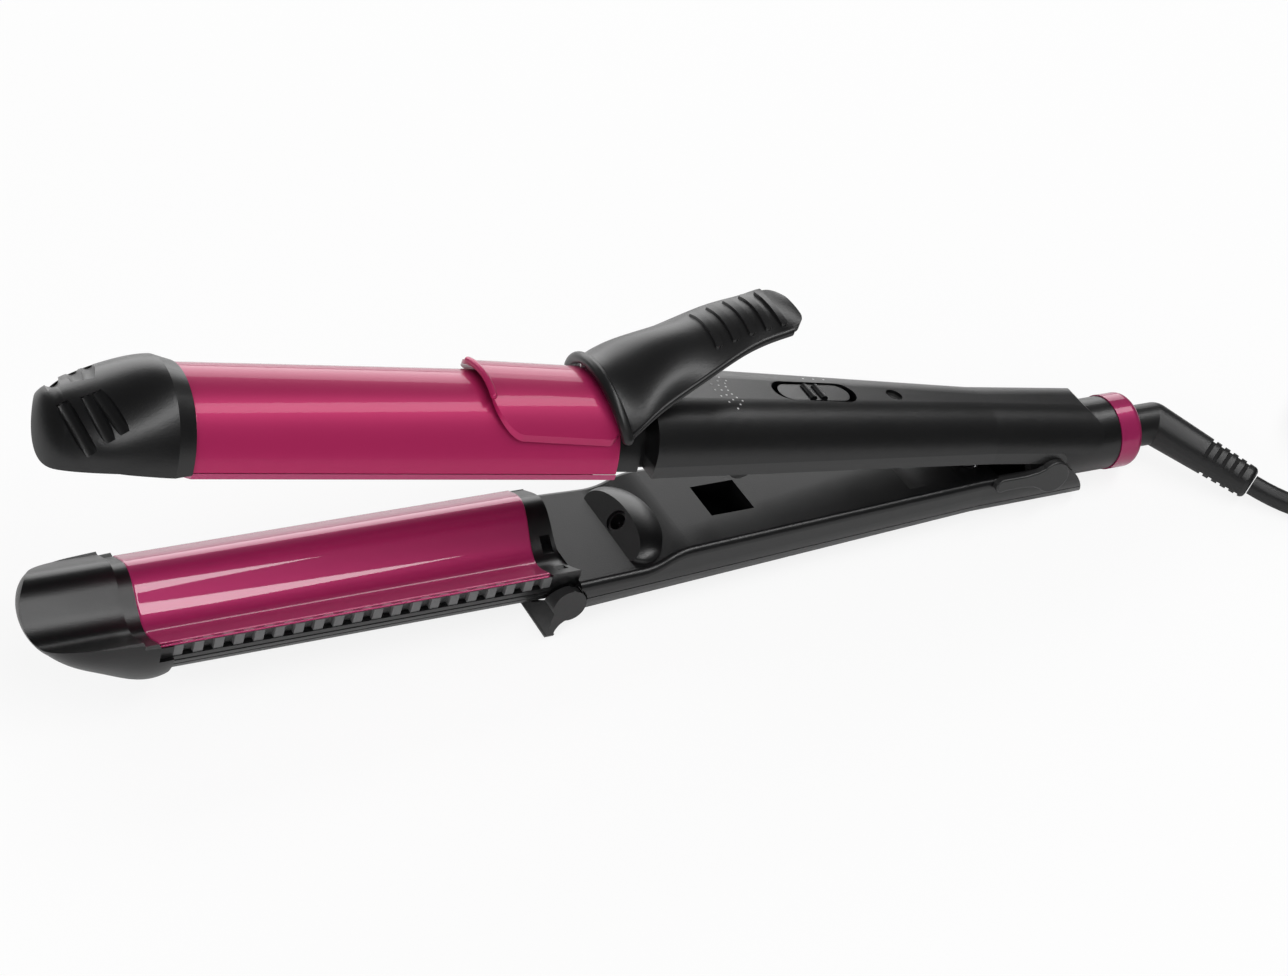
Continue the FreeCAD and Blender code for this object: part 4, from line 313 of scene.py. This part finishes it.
def make_paper():
    """White floor paper: its own colour in the light, lifted to white where the camera sees it lit."""
    paint = bpy.data.materials.new("floor_paper")
    paint.use_nodes = True
    nodes, links = paint.node_tree.nodes, paint.node_tree.links
    shader = nodes["Principled BSDF"]
    shader.inputs["Base Color"].default_value = FLOOR_COLOR + (1,)
    shader.inputs["Roughness"].default_value = 0.9
    shader.inputs["Specular IOR Level"].default_value = 0.1
    glow = nodes.new("ShaderNodeEmission")
    mix = nodes.new("ShaderNodeMixShader")
    seen = nodes.new("ShaderNodeLightPath")
    share = nodes.new("ShaderNodeMath")
    share.operation = "MULTIPLY"
    share.inputs[1].default_value = FLOOR_GLOW
    links.new(seen.outputs["Is Camera Ray"], share.inputs[0])
    links.new(share.outputs["Value"], mix.inputs["Fac"])
    links.new(shader.outputs["BSDF"], mix.inputs[1])
    links.new(glow.outputs["Emission"], mix.inputs[2])
    links.new(mix.outputs["Shader"], nodes["Material Output"].inputs["Surface"])
    return paint


def make_stage():
    """Pale floor, white surround, a long overhead strip, a soft box behind, a weak one in front and a fill
    from the tip's end, which reaches in between the barrels."""
    mesh = bpy.data.meshes.new("floor")
    corners = [(-1, -1), (1, -1), (1, 1), (-1, 1)]
    mesh.from_pydata([(FLOOR_HALF * x, FLOOR_HALF * y, 0) for x, y in corners], [], [(0, 1, 2, 3)])
    mesh.materials.append(make_paper())
    floor = placed("floor", mesh)
    world = bpy.data.worlds.new("surround")
    bpy.context.scene.world = world
    world.use_nodes = True
    nodes, links = world.node_tree.nodes, world.node_tree.links
    background = nodes["Background"]
    background.inputs["Color"].default_value = (1, 1, 1, 1)
    light_path = nodes.new("ShaderNodeLightPath")
    level = nodes.new("ShaderNodeMix")
    level.inputs["A"].default_value = SURROUND_LIGHT
    level.inputs["B"].default_value = SURROUND_SEEN
    links.new(light_path.outputs["Is Camera Ray"], level.inputs["Factor"])
    links.new(level.outputs["Result"], background.inputs["Strength"])
    make_area("strip", (0.25, -0.30, 0.78), (0.0, 0.0, 0.03), 1.5, 0.17, 7.5)
    make_area("back_box", (0.20, 0.85, 0.33), (0.20, 0.0, 0.03), 1.3, 0.58, 2.6)
    make_area("front_box", (-0.45, -0.95, 0.16), (-0.05, 0.0, 0.03), 0.9, 0.25, 1.1)
    make_area("tip_fill", (-1.05, -0.42, 0.42), (-0.10, 0.0, 0.03), 0.8, 0.5, 6.0, mirrored=False)


def new_group(name, inputs, outputs):
    """Empty shader node group with the named sockets."""
    group = bpy.data.node_groups.new(name, "ShaderNodeTree")
    for socket, kind, value in inputs:
        item = group.interface.new_socket(socket, in_out="INPUT", socket_type=kind)
        if value is not None:
            item.default_value = value
    for socket, kind in outputs:
        group.interface.new_socket(socket, in_out="OUTPUT", socket_type=kind)
    return group, group.nodes.new("NodeGroupInput"), group.nodes.new("NodeGroupOutput")


def grain_group():
    """Moulded grain: fine bump, and roughness that wanders a little over the surface."""
    group, given, result = new_group(
        "moulded_grain",
        [("Scale", "NodeSocketFloat", 3000.0), ("Depth", "NodeSocketFloat", 0.3),
         ("Roughness", "NodeSocketFloat", 0.45), ("Wander", "NodeSocketFloat", 0.08),
         ("Color", "NodeSocketColor", (0.05, 0.05, 0.05, 1)), ("Lift", "NodeSocketFloat", 0.12)],
        [("Color", "NodeSocketColor"), ("Roughness", "NodeSocketFloat"), ("Normal", "NodeSocketVector")])
    nodes, links = group.nodes, group.links
    place = nodes.new("ShaderNodeTexCoord")
    fine = nodes.new("ShaderNodeTexNoise")
    fine.inputs["Detail"].default_value = 3
    links.new(place.outputs["Object"], fine.inputs["Vector"])
    links.new(given.outputs["Scale"], fine.inputs["Scale"])
    bump = nodes.new("ShaderNodeBump")
    bump.inputs["Distance"].default_value = GRAIN_RISE
    links.new(fine.outputs["Fac"], bump.inputs["Height"])
    links.new(given.outputs["Depth"], bump.inputs["Strength"])
    broad = nodes.new("ShaderNodeTexNoise")
    broad.inputs["Scale"].default_value = WANDER_SCALE
    broad.inputs["Detail"].default_value = 4
    links.new(place.outputs["Object"], broad.inputs["Vector"])
    centred = nodes.new("ShaderNodeMath")
    centred.operation = "SUBTRACT"
    centred.inputs[1].default_value = 0.5
    links.new(broad.outputs["Fac"], centred.inputs[0])
    spread = nodes.new("ShaderNodeMath")
    spread.operation = "MULTIPLY_ADD"
    links.new(centred.outputs["Value"], spread.inputs[0])
    links.new(given.outputs["Wander"], spread.inputs[1])
    links.new(given.outputs["Roughness"], spread.inputs[2])
    bright = nodes.new("ShaderNodeMath")
    bright.operation = "MULTIPLY_ADD"
    bright.inputs[2].default_value = 1.0
    links.new(centred.outputs["Value"], bright.inputs[0])
    links.new(given.outputs["Lift"], bright.inputs[1])
    tone = nodes.new("ShaderNodeVectorMath")
    tone.operation = "SCALE"
    links.new(given.outputs["Color"], tone.inputs[0])
    links.new(bright.outputs["Value"], tone.inputs["Scale"])
    links.new(tone.outputs["Vector"], result.inputs["Color"])
    links.new(spread.outputs["Value"], result.inputs["Roughness"])
    links.new(bump.outputs["Normal"], result.inputs["Normal"])
    return group


def grained(name, color, roughness, grain, scale=3000.0, depth=0.3, wander=0.08, lift=0.12, metallic=0.0,
            coat=0.0, coat_roughness=0.1, specular=0.5):
    """Material whose colour, roughness and bump come from the moulded grain group."""
    paint = bpy.data.materials.new(name)
    paint.use_nodes = True
    nodes, links = paint.node_tree.nodes, paint.node_tree.links
    shader = nodes["Principled BSDF"]
    shader.inputs["Metallic"].default_value = metallic
    shader.inputs["Coat Weight"].default_value = coat
    shader.inputs["Coat Roughness"].default_value = coat_roughness
    shader.inputs["Specular IOR Level"].default_value = specular
    surface = nodes.new("ShaderNodeGroup")
    surface.node_tree = grain
    surface.inputs["Scale"].default_value = scale
    surface.inputs["Depth"].default_value = depth
    surface.inputs["Roughness"].default_value = roughness
    surface.inputs["Wander"].default_value = wander
    surface.inputs["Lift"].default_value = lift
    surface.inputs["Color"].default_value = color + (1,)
    links.new(surface.outputs["Color"], shader.inputs["Base Color"])
    links.new(surface.outputs["Roughness"], shader.inputs["Roughness"])
    links.new(surface.outputs["Normal"], shader.inputs["Normal"])
    return paint


def calculate(nodes, links, operation, first, second=None):
    """One math node; each operand is a number or a socket, and its result socket comes back."""
    node = nodes.new("ShaderNodeMath")
    node.operation = operation
    for socket, operand in zip(node.inputs, (first, second)):
        if isinstance(operand, (int, float)):
            socket.default_value = operand
        elif operand is not None:
            links.new(operand, socket)
    return node.outputs["Value"]


def nearest_of(nodes, links, value, count):
    """Whole number from 0 to count - 1 that lies nearest to a value."""
    whole = calculate(nodes, links, "ROUND", value)
    return calculate(nodes, links, "MINIMUM", calculate(nodes, links, "MAXIMUM", whole, 0.0), count - 1.0)


def dots_group():
    """Mask of the printed dots. In the fan a place has a ring number (radius less the first, over the step)
    and a spoke number (angle over the turn); its distance to the nearest whole pair is under a dot's radius.
    The marks beside the switch lie on a line, one step apart."""
    group, given, result = new_group("printed_dots", [], [("Mask", "NodeSocketFloat")])
    nodes, links = group.nodes, group.links
    where = nodes.new("ShaderNodeTexCoord")
    turned = nodes.new("ShaderNodeMapping")
    turned.vector_type = "TEXTURE"
    turned.inputs["Location"].default_value = tuple(HINGE)
    turned.inputs["Rotation"].default_value = (0.0, UPPER_LEAN, 0.0)
    links.new(where.outputs["Object"], turned.inputs["Vector"])
    place = nodes.new("ShaderNodeSeparateXYZ")
    links.new(turned.outputs["Vector"], place.inputs["Vector"])

    def math_node(operation, first, second=None):
        return calculate(nodes, links, operation, first, second)

    def length(across, up):
        """Root of the sum of two squares."""
        squares = [math_node("MULTIPLY", side, side) for side in (across, up)]
        return math_node("SQRT", math_node("ADD", *squares))

    x = math_node("SUBTRACT", FAN_MIDDLE[0], place.outputs["X"])
    y = math_node("SUBTRACT", place.outputs["Y"], FAN_MIDDLE[1])
    radius = length(x, y)
    angle = math_node("ADD", math_node("ARCTAN2", y, x), FAN_TURN * (FAN_DOTS - 1) / 2)
    ring = math_node("DIVIDE", math_node("SUBTRACT", radius, FAN_START), FAN_STEP)
    spoke = math_node("DIVIDE", angle, FAN_TURN)
    off_ring = math_node("SUBTRACT", ring, nearest_of(nodes, links, ring, FAN_RINGS))
    off_spoke = math_node("SUBTRACT", spoke, nearest_of(nodes, links, spoke, FAN_DOTS))
    out = math_node("MULTIPLY", off_ring, FAN_STEP)
    along = math_node("MULTIPLY", math_node("MULTIPLY", off_spoke, FAN_TURN), radius)
    fan = length(out, along)
    mark = math_node("DIVIDE", math_node("SUBTRACT", place.outputs["X"], MARK_START[0]), MARK_STEP)
    off_mark = math_node("SUBTRACT", mark, nearest_of(nodes, links, mark, MARKS))
    ahead = math_node("MULTIPLY", off_mark, MARK_STEP)
    aside = math_node("SUBTRACT", place.outputs["Y"], MARK_START[1])
    row = length(ahead, aside)
    dot = math_node("LESS_THAN", math_node("MINIMUM", fan, row), DOT_R)
    upper_side = math_node("GREATER_THAN", place.outputs["Z"], BARREL_R / 2)
    links.new(math_node("MULTIPLY", dot, upper_side), result.inputs["Mask"])
    return group


def printed(paint, ink):
    """Adds the printed dots to a grained finish, in a flat ink colour."""
    nodes, links = paint.node_tree.nodes, paint.node_tree.links
    base = nodes["Principled BSDF"].inputs["Base Color"]
    under = base.links[0].from_socket
    dots = nodes.new("ShaderNodeGroup")
    dots.node_tree = dots_group()
    mix = nodes.new("ShaderNodeMix")
    mix.data_type = "RGBA"
    mix.inputs["B"].default_value = ink + (1,)
    links.new(dots.outputs["Mask"], mix.inputs["Factor"])
    links.new(under, mix.inputs["A"])
    links.new(mix.outputs["Result"], base)
    return paint


def lacquered(name, color, grain, coat_ior):
    """Pink lacquer over metal: tinted base with a faint grain under a clear, hard coat. The coat's index
    sets how strongly the lamps show in it."""
    paint = grained(name, color, 0.4, grain, scale=2500.0, depth=0.02, wander=0.03, lift=0.05, metallic=0.3,
                    coat=1.0, coat_roughness=0.03, specular=0.2)
    paint.node_tree.nodes["Principled BSDF"].inputs["Coat IOR"].default_value = coat_ior
    return paint


def make_materials():
    """One finish for each material slot of the record."""
    grain = grain_group()
    black = (0.004, 0.004, 0.0043)
    satin_black = (0.006, 0.006, 0.0063)
    return {
        "barrel_pink": lacquered("barrel_pink", (0.40, 0.019, 0.100), grain, 1.2),
        "plate_pink": lacquered("plate_pink", (0.39, 0.021, 0.115), grain, 1.52),
        "ring_pink": lacquered("ring_pink", (0.34, 0.018, 0.1), grain, 1.3),
        # The comb is black plastic: its dark grey base is painted sheen, standing in for the light that its ribs
        # catch
        "comb_black": grained("comb_black", (0.11, 0.11, 0.112), 0.3, grain),
        "heater_metal": grained("heater_metal", (0.6, 0.6, 0.62), 0.45, grain, scale=900, metallic=1.0),
        "ceramic": grained("ceramic", (0.8, 0.78, 0.74), 0.6, grain),
        "saddle_plastic": grained("saddle_plastic", (0.6, 0.57, 0.5), 0.55, grain),
        "black_plastic": grained("black_plastic", black, 0.3, grain),
        "handle_black": printed(grained("handle_black", black, 0.33, grain), (0.6, 0.6, 0.6)),
        "lever_black": grained("lever_black", satin_black, 0.33, grain),
        "grey_plastic": grained("grey_plastic", (0.018, 0.018, 0.0183), 0.32, grain),
        "nozzle_plastic": grained("nozzle_plastic", black, 0.4, grain),
        "switch_plastic": grained("switch_plastic", black, 0.2, grain),
        "steel": grained("steel", (0.62, 0.62, 0.63), 0.3, grain, scale=1500, depth=0.15, metallic=1.0),
        "board": grained("board", (0.01, 0.035, 0.015), 0.4, grain),
        "lens": grained("lens", (0.03, 0.03, 0.03), 0.1, grain, depth=0.02, coat=1.0, coat_roughness=0.02),
        "cord_rubber": grained("cord_rubber", satin_black, 0.38, grain),
    }


def dress_nodes(finishes):
    """Gives each carried-over node the finish of its slot."""
    slots = {part["node"]: part["material_slot"] for part in frame["record"]["subparts"]}
    for name, node in frame["nodes"].items():
        node.data.materials.clear()
        node.data.materials.append(finishes[slots[name]])


bpy.context.scene.view_settings.view_transform = "Standard"
make_camera()
FINISHES = make_materials()
make_cord(FINISHES["cord_rubber"])
make_stage()
dress_nodes(FINISHES)
make_lower_plate(FINISHES["plate_pink"])
make_upper_shell(FINISHES["barrel_pink"])
